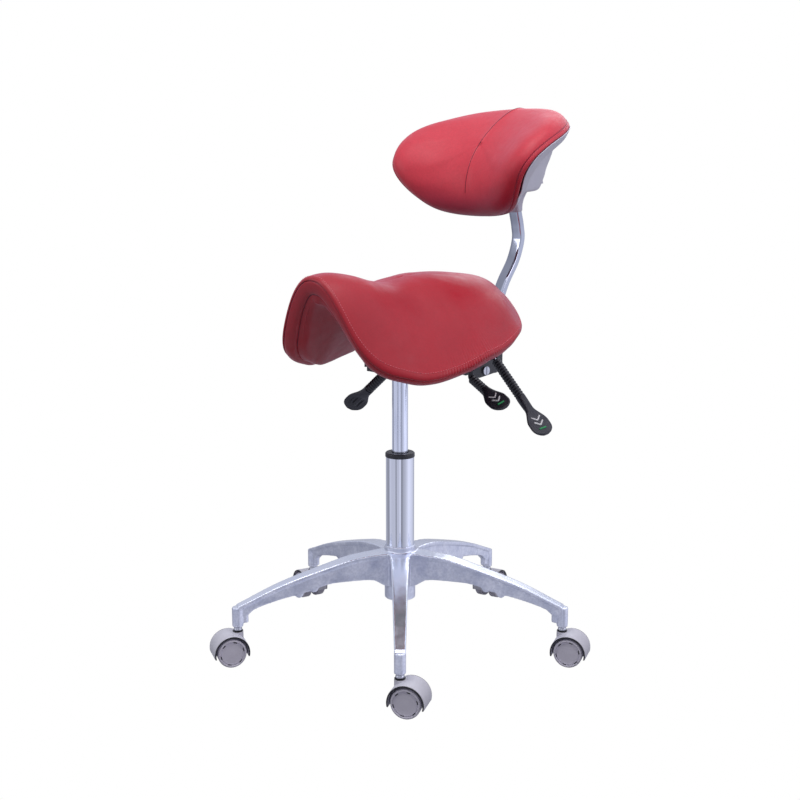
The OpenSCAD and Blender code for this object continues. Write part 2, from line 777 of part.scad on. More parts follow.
base_casting();
outer_tube();
guide_bush();
thrust_bearing();
caster_stems();
stem_collars();
piston_rod();
piston();
pressure_tube();
rod_seal_plug();
valve_pin();
taper_socket();
mechanism_housing();
rear_bracket();
seat_tilt_pin();
back_pivot_pin();
lever_pins();
bracket_screws();
back_spring();
lever_rod(height_lever, finger_tip);  // height_lever_rod
lever_sleeve(height_lever, 4, 54);  // height_lever_sleeve
lever_paddle(height_lever, 54);  // height_lever_paddle
lever_rod(seat_lever, [24, 136, 509]);  // seat_lever_rod
lever_sleeve(seat_lever, 4, 44);  // seat_lever_sleeve
lever_paddle(seat_lever, 44);  // seat_lever_paddle
lever_rod(back_lever, [26, 196, 514]);  // back_lever_rod
lever_sleeve(back_lever, 4, 98);  // back_lever_sleeve
lever_paddle(back_lever, 98);  // back_lever_paddle
seat_plate();
seat_bolts();
seat_board();
seat_undercover();
seat_cushion();
bar_foot();
back_bar();
bar_sleeve();
back_shell();
back_cushion();
shell_screws();
caster_housing(1);  // caster_1_housing
caster_trim(1);  // caster_1_trim
caster_axle(1);  // caster_1_axle
caster_wheels(1);  // caster_1_wheels
caster_housing(2);  // caster_2_housing
caster_trim(2);  // caster_2_trim
caster_axle(2);  // caster_2_axle
caster_wheels(2);  // caster_2_wheels
caster_housing(3);  // caster_3_housing
caster_trim(3);  // caster_3_trim
caster_axle(3);  // caster_3_axle
caster_wheels(3);  // caster_3_wheels
caster_housing(4);  // caster_4_housing
caster_trim(4);  // caster_4_trim
caster_axle(4);  // caster_4_axle
caster_wheels(4);  // caster_4_wheels
caster_housing(5);  // caster_5_housing
caster_trim(5);  // caster_5_trim
caster_axle(5);  // caster_5_axle
caster_wheels(5);  // caster_5_wheels
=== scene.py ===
"""Looks of a saddle stool with a lumbar backrest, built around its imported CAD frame.

Shapes are worked out in millimetres, as in the CAD, and turned into metres when a mesh is made.
+Z is up, the sitter faces -Y and +X is the sitter's left.
"""

import json
import math

import bpy
import numpy as np
from mathutils import Matrix, Vector


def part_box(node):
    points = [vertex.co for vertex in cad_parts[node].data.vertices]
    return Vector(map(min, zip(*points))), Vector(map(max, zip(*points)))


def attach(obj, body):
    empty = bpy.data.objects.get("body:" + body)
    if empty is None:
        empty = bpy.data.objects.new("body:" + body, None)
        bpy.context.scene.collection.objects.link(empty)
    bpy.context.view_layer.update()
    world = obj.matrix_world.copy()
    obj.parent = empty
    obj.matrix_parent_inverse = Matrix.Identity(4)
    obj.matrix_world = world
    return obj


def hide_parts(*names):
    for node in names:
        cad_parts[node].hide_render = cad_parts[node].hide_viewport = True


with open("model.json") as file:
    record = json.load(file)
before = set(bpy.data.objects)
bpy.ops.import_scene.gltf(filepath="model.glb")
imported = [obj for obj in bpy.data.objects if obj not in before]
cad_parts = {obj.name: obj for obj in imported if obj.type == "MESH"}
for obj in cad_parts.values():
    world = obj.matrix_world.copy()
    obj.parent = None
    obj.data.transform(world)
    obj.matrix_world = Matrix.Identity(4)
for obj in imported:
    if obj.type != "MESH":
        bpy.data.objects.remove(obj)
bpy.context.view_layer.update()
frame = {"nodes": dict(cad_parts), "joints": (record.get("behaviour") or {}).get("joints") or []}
nodes = frame["nodes"]
scene = bpy.context.scene
MM = 0.001


# ---- curves
def through(a, b, c, d, t):
    """Point on the smooth curve through a, b, c, d, between b and c."""
    return 0.5 * (2 * b + (c - a) * t + (2 * a - 5 * b + 4 * c - d) * t**2 + (3 * b - a - 3 * c + d) * t**3)


def spline(points, per_span):
    """Smooth open curve through the points."""
    p = np.array(points, float)
    p = np.vstack([2 * p[0] - p[1], p, 2 * p[-1] - p[-2]])
    t = np.linspace(0, 1, per_span, endpoint=False)[:, None]
    spans = [through(*p[i : i + 4], t) for i in range(len(p) - 3)]
    return np.vstack(spans + [p[-2:-1]])


def mirrored_loop(points, per_span):
    """Smooth closed curve through the points and their mirror images across x = 0."""
    p = np.array(points, float)
    p = np.vstack([p, p[-2:0:-1] * [-1, 1]])
    n = len(p)
    t = np.linspace(0, 1, per_span, endpoint=False)[:, None]
    return np.vstack([through(p[i - 1], p[i], p[(i + 1) % n], p[(i + 2) % n], t) for i in range(n)])


def resample(path, count, weight=None):
    """count points spread along a closed path by arc length times weight."""
    closed = np.vstack([path, path[:1]])
    step = np.linalg.norm(np.diff(closed, axis=0), axis=1)
    if weight is not None:
        step = step * weight(0.5 * (closed[1:] + closed[:-1]))
    run = np.concatenate([[0], np.cumsum(step)])
    at = np.linspace(0, run[-1], count, endpoint=False)
    return np.stack([np.interp(at, run, closed[:, k]) for k in range(closed.shape[1])], 1)


def smoothstep(t):
    t = np.clip(t, 0, 1)
    return t * t * (3 - 2 * t)


def unit(v):
    return v / np.linalg.norm(v, axis=-1, keepdims=True)


# ---- meshes
def make_object(name, points, faces, material, sharp=None):
    """Mesh object from points in millimetres. sharp is the angle in degrees above which edges stay hard."""
    mesh = bpy.data.meshes.new(name)
    mesh.from_pydata([tuple(p) for p in np.asarray(points) * MM], [], faces)
    mesh.polygons.foreach_set("use_smooth", [True] * len(mesh.polygons))
    if sharp is not None:
        mesh.set_sharp_from_angle(angle=math.radians(sharp))
    if material is not None:
        mesh.materials.append(material)
    obj = bpy.data.objects.new(name, mesh)
    scene.collection.objects.link(obj)
    return obj


def ring_faces(rows, cols, first=0, flip=False):
    """Quads between rows of a closed ring grid."""
    faces = []
    for i in range(rows - 1):
        for j in range(cols):
            a = first + i * cols + j
            b = first + i * cols + (j + 1) % cols
            faces.append((a, a + cols, b + cols, b) if flip else (a, b, b + cols, a + cols))
    return faces


def closed_grid(name, rings, start, end, material, sharp=None, flip=False):
    """Closed skin over rings of points, with a fan to the start point and to the end point."""
    rows, cols = rings.shape[:2]
    points = np.vstack([rings.reshape(-1, 3), [start, end]])
    last = rows * cols
    faces = ring_faces(rows, cols, flip=flip)
    for j in range(cols):
        k = (j + 1) % cols
        low = (last, k, j)
        high = (last + 1, last - cols + j, last - cols + k)
        faces += [low[::-1], high[::-1]] if flip else [low, high]
    return make_object(name, points, faces, material, sharp)


def ring_of_rings(name, rings, material, sharp):
    """Skin of a hollow piece: rings down the outside and up the inside, the last joined to the first."""
    rows, cols = rings.shape[:2]
    faces = [tuple(v % (rows * cols) for v in face) for face in ring_faces(rows + 1, cols, flip=True)]
    return make_object(name, rings.reshape(-1, 3), faces, material, sharp)


def in_frame(matrix, points):
    """Points given in a local frame, moved into the stool's frame."""
    return np.array([tuple(matrix @ Vector(p)) for p in points])


def lathe(name, profiles, frames, material, segments=96, sharp=35):
    """Turned pieces: each profile is a closed outline of (radius, height), turned about each frame's Z."""
    points, faces = [], []
    angle = np.linspace(0, 2 * math.pi, segments, endpoint=False)
    for matrix in frames:
        for profile in profiles:
            first = len(points)
            m = len(profile)
            points += [matrix @ Vector((r * math.cos(a), r * math.sin(a), h)) for a in angle for r, h in profile]
            for i in range(segments):
                here, ahead = first + i * m, first + (i + 1) % segments * m
                for j in range(m):
                    k = (j + 1) % m
                    faces.append((here + j, ahead + j, ahead + k, here + k))
    return make_object(name, np.array([tuple(p) for p in points]), faces, material, sharp)


def rounded(profile, radius, steps=5):
    """Rounds every corner of a closed (radius, height) outline."""
    p = np.array(profile, float)
    out = []
    for i in range(len(p)):
        before, here, after = p[i - 1], p[i], p[(i + 1) % len(p)]
        u, v = before - here, after - here
        back_off = min(radius, 0.45 * np.linalg.norm(u), 0.45 * np.linalg.norm(v))
        a, b = here + unit(u) * back_off, here + unit(v) * back_off
        for t in np.linspace(0, 1, steps):
            out.append(tuple((1 - t) ** 2 * a + 2 * t * (1 - t) * here + t * t * b))
    return out


def squarish(angle, half_x, half_y, power):
    """Rectangle with round corners: x and y at each angle. A low power makes the corners tight."""
    c, s = np.cos(angle), np.sin(angle)
    return half_x * np.sign(c) * np.abs(c) ** power, half_y * np.sign(s) * np.abs(s) ** power


def apply_modifiers(obj):
    """Turns the object's modifiers into its mesh."""
    graph = bpy.context.evaluated_depsgraph_get()
    mesh = bpy.data.meshes.new_from_object(obj.evaluated_get(graph))
    obj.modifiers.clear()
    obj.data = mesh


def soften(node, name, voxel, rounds, material):
    """Copy of a CAD node with every edge rounded: a fine remesh, then smoothing."""
    mesh = nodes[node].data.copy()
    obj = bpy.data.objects.new(name, mesh)
    scene.collection.objects.link(obj)
    remesh = obj.modifiers.new("remesh", "REMESH")
    remesh.mode = "VOXEL"
    remesh.voxel_size = voxel * MM
    smooth = obj.modifiers.new("smooth", "SMOOTH")
    smooth.factor = 0.5
    smooth.iterations = rounds
    apply_modifiers(obj)
    obj.data.materials.clear()
    obj.data.materials.append(material)
    obj.data.polygons.foreach_set("use_smooth", [True] * len(obj.data.polygons))
    return obj


def bevel(obj, width, segments=3):
    """Small round on every sharp edge."""
    mod = obj.modifiers.new("bevel", "BEVEL")
    mod.width = width * MM
    mod.segments = segments
    mod.limit_method = "ANGLE"
    mod.angle_limit = math.radians(40)
    mod.harden_normals = False


def place(obj, body, slot, *replaced):
    """Puts a finished piece on its body and hides the CAD parts that it replaces."""
    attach(obj, body)
    if replaced:
        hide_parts(*replaced)


def axis_frame(origin, target):
    """Frame at origin with its Z towards target, as the CAD's levers use it. -X is the upper side."""
    v = np.array(target, float) - np.array(origin, float)
    beta = math.acos(v[2] / np.linalg.norm(v))
    gamma = math.atan2(v[1], v[0])
    turn = Matrix.Rotation(gamma, 4, "Z") @ Matrix.Rotation(beta, 4, "Y")
    return Matrix.Translation(Vector(origin)) @ turn


# ---- materials
class Graph:
    """Shader nodes of a material or of the world, with short ways to add to them."""

    def __init__(self, tree):
        self.tree = tree

    def add(self, kind, inputs=None, **settings):
        node = self.tree.nodes.new(kind)
        for key, value in settings.items():
            setattr(node, key, value)
        for key, value in (inputs or {}).items():
            self.connect(node.inputs[key], value)
        return node

    def connect(self, socket, value):
        if isinstance(value, bpy.types.NodeSocket):
            self.tree.links.new(value, socket)
        else:
            socket.default_value = value

    def between(self, value, low, high, to_low=0.0, to_high=1.0):
        return self.add("ShaderNodeMapRange", {
            "Value": value, "From Min": low, "From Max": high, "To Min": to_low, "To Max": to_high,
        }).outputs["Result"]

    def mix(self, factor, a, b, blend="MIX"):
        inputs = {0: factor, 6: a, 7: b}
        return self.add("ShaderNodeMix", inputs, data_type="RGBA", blend_type=blend).outputs[2]

    def math(self, operation, a, b):
        return self.add("ShaderNodeMath", {0: a, 1: b}, operation=operation).outputs[0]

    def one_of(self, ray, otherwise, then):
        """Shader `then` for one kind of ray, `otherwise` for the rest."""
        chosen = self.add("ShaderNodeLightPath").outputs[ray]
        return self.add("ShaderNodeMixShader", {0: chosen, 1: otherwise, 2: then}).outputs[0]


class Shader(Graph):
    """Node material around one Principled shader."""

    def __init__(self, name):
        self.material = bpy.data.materials.new(name)
        self.material.use_nodes = True
        super().__init__(self.material.node_tree)
        self.bsdf = self.tree.nodes["Principled BSDF"]
        self.coord = self.add("ShaderNodeTexCoord").outputs["Object"]

    def set(self, **inputs):
        for key, value in inputs.items():
            self.connect(self.bsdf.inputs[key.replace("_", " ")], value)

    def grey(self, tone):
        return self.add("ShaderNodeCombineColor", {0: tone, 1: tone, 2: tone}).outputs[0]

    def noise(self, scale, detail=4.0, stretch=(1, 1, 1), rough=0.55):
        mapping = self.add("ShaderNodeMapping", {"Vector": self.coord, "Scale": stretch})
        return self.add("ShaderNodeTexNoise", {
            "Vector": mapping.outputs[0], "Scale": scale, "Detail": detail, "Roughness": rough,
        }).outputs["Fac"]

    def cells(self, scale):
        return self.add("ShaderNodeTexVoronoi", {
            "Vector": self.coord, "Scale": scale,
        }, feature="DISTANCE_TO_EDGE").outputs["Distance"]

    def bump(self, height, strength, distance, below=None):
        inputs = {"Height": height, "Strength": strength, "Distance": distance * MM}
        if below is not None:
            inputs["Normal"] = below
        return self.add("ShaderNodeBump", inputs).outputs["Normal"]


def rgb(r, g, b):
    """Linear colour from screen values of 0 to 255."""
    return tuple((c / 255) ** 2.2 for c in (r, g, b)) + (1.0,)


def leather(name, colour, shade, edge_sheen, roughness):
    """Coated upholstery: fine pebble grain, soft mottling, a painted lilac sheen that makes it paler where it is
    seen edge on, and painted shade where a point attribute marks it.
    """
    s = Shader(name)
    mottle = s.between(s.noise(9, 5), 0.35, 0.7)
    base = s.mix(mottle, colour, shade)
    fine = s.between(s.noise(260, 3), 0.3, 0.7, 0.94, 1.05)
    base = s.mix(1.0, base, s.grey(fine), "MULTIPLY")
    # painted sheen: a lilac tint mixed into the colour where the surface is seen edge on
    facing = s.add("ShaderNodeLayerWeight", {"Blend": 0.35}).outputs["Facing"]
    base = s.mix(s.between(facing, 0.45, 1.0, 0.0, 0.45), base, edge_sheen)
    # painted shade: the colour is darkened towards a dark purple where the point attribute marks it
    painted_shade = s.add("ShaderNodeAttribute", attribute_name="painted_shade").outputs["Fac"]
    base = s.mix(s.between(painted_shade, 0, 1, 0, 0.8), base, rgb(84, 28, 72))
    grain = s.bump(s.cells(820), 0.25, 0.35)
    grain = s.bump(s.noise(1500, 2), 0.12, 0.2, grain)
    grain = s.bump(s.noise(28, 3), 0.1, 1.2, grain)
    s.set(
        Base_Color=base,
        Roughness=s.between(s.noise(60, 4), 0.3, 0.7, roughness - 0.05, roughness + 0.07),
        Normal=grain,
        Sheen_Weight=0.08,
        Sheen_Roughness=0.45,
        Sheen_Tint=(0.95, 0.75, 0.85, 1),
    )
    s.bsdf.inputs["Specular IOR Level"].default_value = 0.42
    return s.material


def polished(name, colour, roughness):
    """Chrome plate with faint polishing haze."""
    s = Shader(name)
    haze = s.between(s.noise(35, 4), 0.3, 0.75, roughness * 0.6, roughness * 1.6)
    smear = s.bump(s.noise(16, 2, (1, 1, 0.3)), 0.04, 0.5)
    s.set(Base_Color=s.mix(s.noise(5, 3), colour, rgb(214, 218, 230)), Metallic=1.0, Roughness=haze, Normal=smear)
    return s.material


def brushed(name, colour, shade, roughness, stretch):
    """Drawn or turned steel with fine lines along one direction."""
    s = Shader(name)
    lines = s.noise(900, 3, stretch)
    base = s.mix(s.between(lines, 0.35, 0.65), colour, shade)
    rough = s.between(s.noise(30, 4), 0.3, 0.7, roughness - 0.05, roughness + 0.08)
    s.set(Base_Color=base, Metallic=1.0, Roughness=rough, Normal=s.bump(lines, 0.12, 0.05))
    return s.material


def cast_aluminium():
    """Casting: bright polished upper faces, mottled sand-cast sides."""
    s = Shader("cast_aluminium")
    normal = s.add("ShaderNodeNewGeometry").outputs["Normal"]
    up = s.add("ShaderNodeSeparateXYZ", {0: normal}).outputs[2]
    top = s.between(up, 0.5, 0.72)
    blotch = s.between(s.noise(42, 6, rough=0.7), 0.34, 0.66)
    pits = s.between(s.noise(240, 4), 0.35, 0.65)
    side = s.mix(blotch, rgb(198, 203, 222), rgb(236, 238, 248))
    side = s.mix(s.between(pits, 0, 1, 0, 0.3), side, rgb(160, 164, 182))
    bright = s.mix(s.between(s.noise(14, 3), 0.3, 0.7), rgb(236, 240, 252), rgb(222, 229, 246))
    rough_side = s.between(blotch, 0, 1, 0.34, 0.5)
    rough_top = s.between(s.noise(70, 3), 0.3, 0.7, 0.16, 0.24)
    roughness = s.add("ShaderNodeMix", {0: top, 2: rough_side, 3: rough_top}).outputs[0]
    sand = s.bump(s.noise(420, 5), 0.3, 0.35)
    sand = s.bump(s.noise(60, 4), 0.22, 1.2, sand)
    calm = s.bump(s.noise(25, 2), 0.03, 0.4)
    normal = s.add("ShaderNodeMix", {0: top, 4: sand, 5: calm}, data_type="VECTOR").outputs[1]
    s.set(Base_Color=s.mix(top, side, bright), Metallic=0.8, Roughness=roughness, Normal=normal)
    return s.material


def plastic(name, colour, shade, roughness, grain, depth, coat=0.0):
    """Moulded plastic or rubber: spark-eroded grain and faint flow marks."""
    s = Shader(name)
    base = s.mix(s.between(s.noise(12, 4), 0.35, 0.7), colour, shade)
    rough = s.between(s.noise(80, 4), 0.3, 0.7, roughness - 0.05, roughness + 0.06)
    s.set(
        Base_Color=base,
        Roughness=rough,
        Normal=s.bump(s.noise(grain, 4), 0.25, depth),
        Coat_Weight=coat,
        Coat_Roughness=0.25,
    )
    return s.material


def paint(name, colour):
    """Powder coat: soft orange peel, and bare metal showing at worn edges."""
    s = Shader(name)
    pointy = s.add("ShaderNodeNewGeometry").outputs["Pointiness"]
    worn = s.between(s.math("ADD", pointy, s.math("MULTIPLY", s.noise(90, 4), 0.06)), 0.56, 0.62)
    base = s.mix(s.between(worn, 0, 1, 0, 0.3), colour, rgb(92, 94, 102))
    s.set(
        Base_Color=base,
        Roughness=s.between(s.noise(40, 4), 0.3, 0.7, 0.36, 0.5),
        Normal=s.bump(s.noise(520, 3), 0.2, 0.2),
    )
    return s.material


M = {
    # seat and backrest share one leather: the seat's deeper red is painted shade and the backrest's paler, brighter
    # red painted light of the same colour
    "seat": leather("seat_leather", rgb(178, 30, 47), rgb(166, 25, 43), rgb(196, 92, 128), 0.42),
    "back": leather("back_leather", rgb(216, 60, 76), rgb(206, 54, 70), rgb(196, 84, 112), 0.46),
    "thread": plastic("red_thread", rgb(236, 128, 140), rgb(216, 100, 114), 0.6, 2400, 0.1),
    "dark_thread": plastic("dark_thread", rgb(104, 22, 48), rgb(80, 16, 36), 0.6, 2400, 0.1),
    "shell": plastic("shell_plastic", rgb(222, 223, 240), rgb(214, 216, 234), 0.42, 1300, 0.06, 0.1),
    "black": plastic("black_plastic", rgb(34, 34, 40), rgb(44, 44, 52), 0.42, 1400, 0.1),
    "paddle": plastic("paddle_plastic", rgb(30, 30, 40), rgb(40, 40, 52), 0.5, 1500, 0.07),
    "sleeve": plastic("sleeve_rubber", rgb(28, 28, 36), rgb(40, 40, 50), 0.36, 1100, 0.12),
    "white": plastic("mark_white", rgb(236, 238, 240), rgb(224, 226, 230), 0.5, 1500, 0.05),
    "green": plastic("mark_green", rgb(52, 170, 100), rgb(44, 150, 90), 0.5, 1500, 0.05),
    "hood": plastic("caster_plastic", rgb(208, 208, 220), rgb(196, 196, 208), 0.5, 1700, 0.25),
    "wheel": plastic("wheel_plastic", rgb(216, 213, 228), rgb(204, 201, 216), 0.48, 1500, 0.12),
    "trim": plastic("trim_plastic", rgb(24, 24, 28), rgb(34, 34, 38), 0.4, 1500, 0.08),
    "chrome": polished("tube_chrome", rgb(226, 228, 236), 0.07),
    "bar": polished("bar_chrome", rgb(112, 116, 134), 0.06),
    "satin": brushed("satin_steel", rgb(234, 238, 250), rgb(214, 220, 238), 0.15, (1, 1, 0.02)),
    "steel": brushed("turned_steel", rgb(196, 198, 206), rgb(168, 170, 180), 0.26, (0.2, 0.2, 1)),
    "cast": cast_aluminium(),
    "paint": paint("black_paint", rgb(34, 34, 40)),
}


# ---- cloth
def inflate(obj, pinned, pressure, cap):
    """Lets a closed skin swell like stuffed cloth. pinned is 0 to 1 per vertex; no point moves past cap."""
    mesh = obj.data
    rest = np.zeros(len(mesh.vertices) * 3)
    mesh.vertices.foreach_get("co", rest)
    rest = rest.reshape(-1, 3)
    group = obj.vertex_groups.new(name="pin")
    for level in sorted(set(np.round(pinned, 2))):
        if level > 0:
            group.add(np.nonzero(np.round(pinned, 2) == level)[0].tolist(), float(level), "REPLACE")
    cloth = obj.modifiers.new("cloth", "CLOTH")
    settings = cloth.settings
    settings.quality = 5
    settings.mass = 0.3
    settings.tension_stiffness = settings.compression_stiffness = 18
    settings.bending_stiffness = 2
    settings.vertex_group_mass = "pin"
    settings.use_pressure = True
    settings.uniform_pressure_force = pressure
    settings.effector_weights.gravity = 0
    cloth.collision_settings.use_collision = False
    scene.frame_start, scene.frame_end = 1, 20
    for step in range(1, 21):
        scene.frame_set(step)
    graph = bpy.context.evaluated_depsgraph_get()
    swollen = obj.evaluated_get(graph).data
    now = np.zeros(len(swollen.vertices) * 3)
    swollen.vertices.foreach_get("co", now)
    obj.modifiers.clear()
    obj.vertex_groups.clear()
    scene.frame_set(1)
    move = now.reshape(-1, 3) - rest
    length = np.linalg.norm(move, axis=1, keepdims=True)
    limit = cap * MM
    return rest + move * limit / (limit + length)


def swell(rings, start, end, hold, cap, calm):
    """Rings and middle points after the closed skin has swollen. hold is 1 for rows and columns sewn down.

    calm is the number of passes that even the swelling out, for a cover pulled taut.
    """
    obj = closed_grid("swelling", rings, start, end, None)
    pinned = np.concatenate([hold.ravel(), [hold[0].min(), 1.0]])
    points = inflate(obj, pinned, 4.0, cap) / MM
    mesh = obj.data
    bpy.data.objects.remove(obj)
    bpy.data.meshes.remove(mesh)
    move = points[:-2].reshape(rings.shape) - rings
    free = 1 - hold[..., None]
    for _ in range(calm):
        padded = np.concatenate([move[:1], move, move[-1:]])
        near = padded[:-2] + padded[2:] + np.roll(move, 1, 1) + np.roll(move, -1, 1)
        move = 0.5 * move + 0.125 * near * np.minimum(1, free + 0.5)
    middle = move[0].mean(0)
    return rings + move, start + middle, points[-1]


def doubled(grid, axis, closed):
    """Grid with one new line between each two along axis, placed on the smooth curve through them."""
    g = np.moveaxis(grid, axis, 0)
    if closed:
        before, after, beyond = np.roll(g, 1, 0), np.roll(g, -1, 0), np.roll(g, -2, 0)
        middle = (-before + 9 * g + 9 * after - beyond) / 16
        out = np.stack([g, middle], 1).reshape(-1, *g.shape[1:])
    else:
        padded = np.concatenate([2 * g[:1] - g[1:2], g, 2 * g[-1:] - g[-2:-1]])
        middle = (-padded[:-3] + 9 * padded[1:-2] + 9 * padded[2:-1] - padded[3:]) / 16
        out = np.concatenate([np.stack([g[:-1], middle], 1).reshape(-1, *g.shape[1:]), g[-1:]])
    return np.moveaxis(out, 0, axis)


def grid_normals(rings, flip=False):
    """Outward normal at each point of a ring grid."""
    down = np.gradient(rings, axis=0)
    round_ = np.roll(rings, -1, 1) - np.roll(rings, 1, 1)
    normal = unit(np.cross(down, round_) + 1e-12)
    return -normal if flip else normal


def mark_painted_shade(obj, painted_shade, seam):
    """Painted shade on the cover: darkens it by the amount given for each point, and along its seam row, where the
    groove would be in shade.
    """
    rows = slice(seam - 1, seam + 2)
    painted_shade[rows] = np.maximum(painted_shade[rows], np.array([0.4, 1.0, 0.4])[:, None])
    layer = obj.data.attributes.new("painted_shade", "FLOAT", "POINT")
    layer.data.foreach_set("value", np.concatenate([painted_shade.ravel(), [0, 0]]).astype(np.float32))


def stitches(name, path, normals, pitch, dash, radius, material):
    """Row of stitches along a closed path: short rounded dashes that dip into the leather at both ends."""
    path, normals = np.vstack([path, path[:1]]), np.vstack([normals, normals[:1]])
    run = np.concatenate([[0], np.cumsum(np.linalg.norm(np.diff(path, axis=0), axis=1))])
    sides, steps = 6, 5
    count = int(run[-1] / pitch)
    t = np.linspace(0, 1, steps)
    at = (run[-1] * (np.arange(count) + 0.5) / count)[:, None] + (t - 0.5) * dash

    def along(values, where):
        return np.stack([np.interp(where, run, values[:, a]) for a in range(3)], -1)

    centre, normal = along(path, at), unit(along(normals, at))
    side = unit(np.cross(unit(along(path, at + 0.1) - along(path, at - 0.1)), normal))
    arch = np.sin(math.pi * t)[None, :, None]
    centre = centre + normal * radius * (1.2 * arch - 0.5)
    thick = (radius * (0.45 + 0.55 * arch))[..., None]
    angle = np.linspace(0, 2 * math.pi, sides, endpoint=False)[:, None]
    points = centre[:, :, None] + thick * (np.cos(angle) * side[:, :, None] + np.sin(angle) * normal[:, :, None])
    faces = []
    for k in range(count):
        first = k * steps * sides
        faces += ring_faces(steps, sides, first)
        faces.append(tuple(first + j for j in reversed(range(sides))))
        faces.append(tuple(first + (steps - 1) * sides + j for j in range(sides)))
    return make_object(name, points.reshape(-1, 3), faces, material)


def cord(name, path, radius, material, closed=False, sides=8):
    """Thin round cord along a path in millimetres."""
    path = np.asarray(path, float)
    ahead = np.roll(path, -1, 0) - path if closed else np.gradient(path, axis=0)
    direction = unit(ahead)
    helper = np.where(np.abs(direction[:, 2:3]) < 0.9, [[0.0, 0, 1]], [[1.0, 0, 0]])
    u = unit(np.cross(direction, helper))
    v = np.cross(direction, u)
    angle = np.linspace(0, 2 * math.pi, sides, endpoint=False)
    cos, sin = np.cos(angle)[None, :, None], np.sin(angle)[None, :, None]
    rings = path[:, None] + radius * (cos * u[:, None] + sin * v[:, None])
    if closed:
        rings = np.concatenate([rings, rings[:1]])
        return make_object(name, rings.reshape(-1, 3), ring_faces(len(rings), sides), material)
    return closed_grid(name, rings, path[0], path[-1], material)


# ---- saddle seat
SEAT_EDGE = 30  # thickness of the cushion at its rim
SEAT_CROWN = 24  # how much thicker it is in the middle
SEAT_ROLL = 12  # how far the rear of the cover rolls down towards the rim
NOSE_SPARE = 3.5  # extra room for the board under the nose
COVER_DEPTH = 14  # from the foam to the visible face of the under-cover
COVER_INSIDE = 12.4
SEAT_MID = np.array([0.0, 10.0])
seat_ridge = spline([(-215, 670), (-165, 678), (-125, 675), (-85, 664), (-45, 657), (0, 662),
                     (45, 668), (100, 668), (150, 662), (195, 651), (240, 632)], 24)
seat_fall = spline([(-215, 0.0050), (-195, 0.0047), (-172, 0.0037), (-140, 0.0029), (-100, 0.0022), (-50, 0.0016),
                    (0, 0.00136), (50, 0.00119), (100, 0.00108), (150, 0.00116), (200, 0.0017), (230, 0.0024)], 24)
seat_outline = mirrored_loop([(0, -195), (72, -190), (115, -172), (148, -125), (176, -50),
                              (187, 40), (182, 104), (153, 162), (102, 204), (0, 222)], 80)

GATHER_PITCH = 5.6
GATHER_SIZE = 0.8
SEAT_STITCHES = (4.6, 3.1, 0.55)


def flap_bottom(p):
    """1 at the lowest stretch of the flaps, where the leather is gathered into the seam, 0 elsewhere."""
    return np.exp(-(((p[:, 1] - 5) / 62) ** 4)) * (np.abs(p[:, 0]) > 100)


def seat_height(x, y):
    fall = np.interp(y, seat_fall[:, 0], seat_fall[:, 1])
    return np.interp(y, seat_ridge[:, 0], seat_ridge[:, 1]) - fall * np.abs(x) ** 2.2


def seat_point(outline, q, depth):
    """Point q of the way from the middle to each outline point, sunk by depth along the surface's normal."""
    x, y = (SEAT_MID + (outline - SEAT_MID) * q).T
    e = 1.0
    slope_x = (seat_height(x + e, y) - seat_height(x - e, y)) / (2 * e)
    slope_y = (seat_height(x, y + e) - seat_height(x, y - e)) / (2 * e)
    normal = unit(np.stack([-slope_x, -slope_y, np.ones_like(x)], 1))
    roll = SEAT_ROLL * smoothstep((q - 0.66) / 0.34) ** 1.4 * smoothstep((y - 5) / 90)
    spare = NOSE_SPARE * smoothstep((-60 - y) / 50) * (depth > SEAT_EDGE + 8)
    return np.stack([x, y, seat_height(x, y)], 1) - (depth + roll + spare)[:, None] * normal


def cushion_depth(q):
    return SEAT_EDGE + SEAT_CROWN * (1 - q * q)


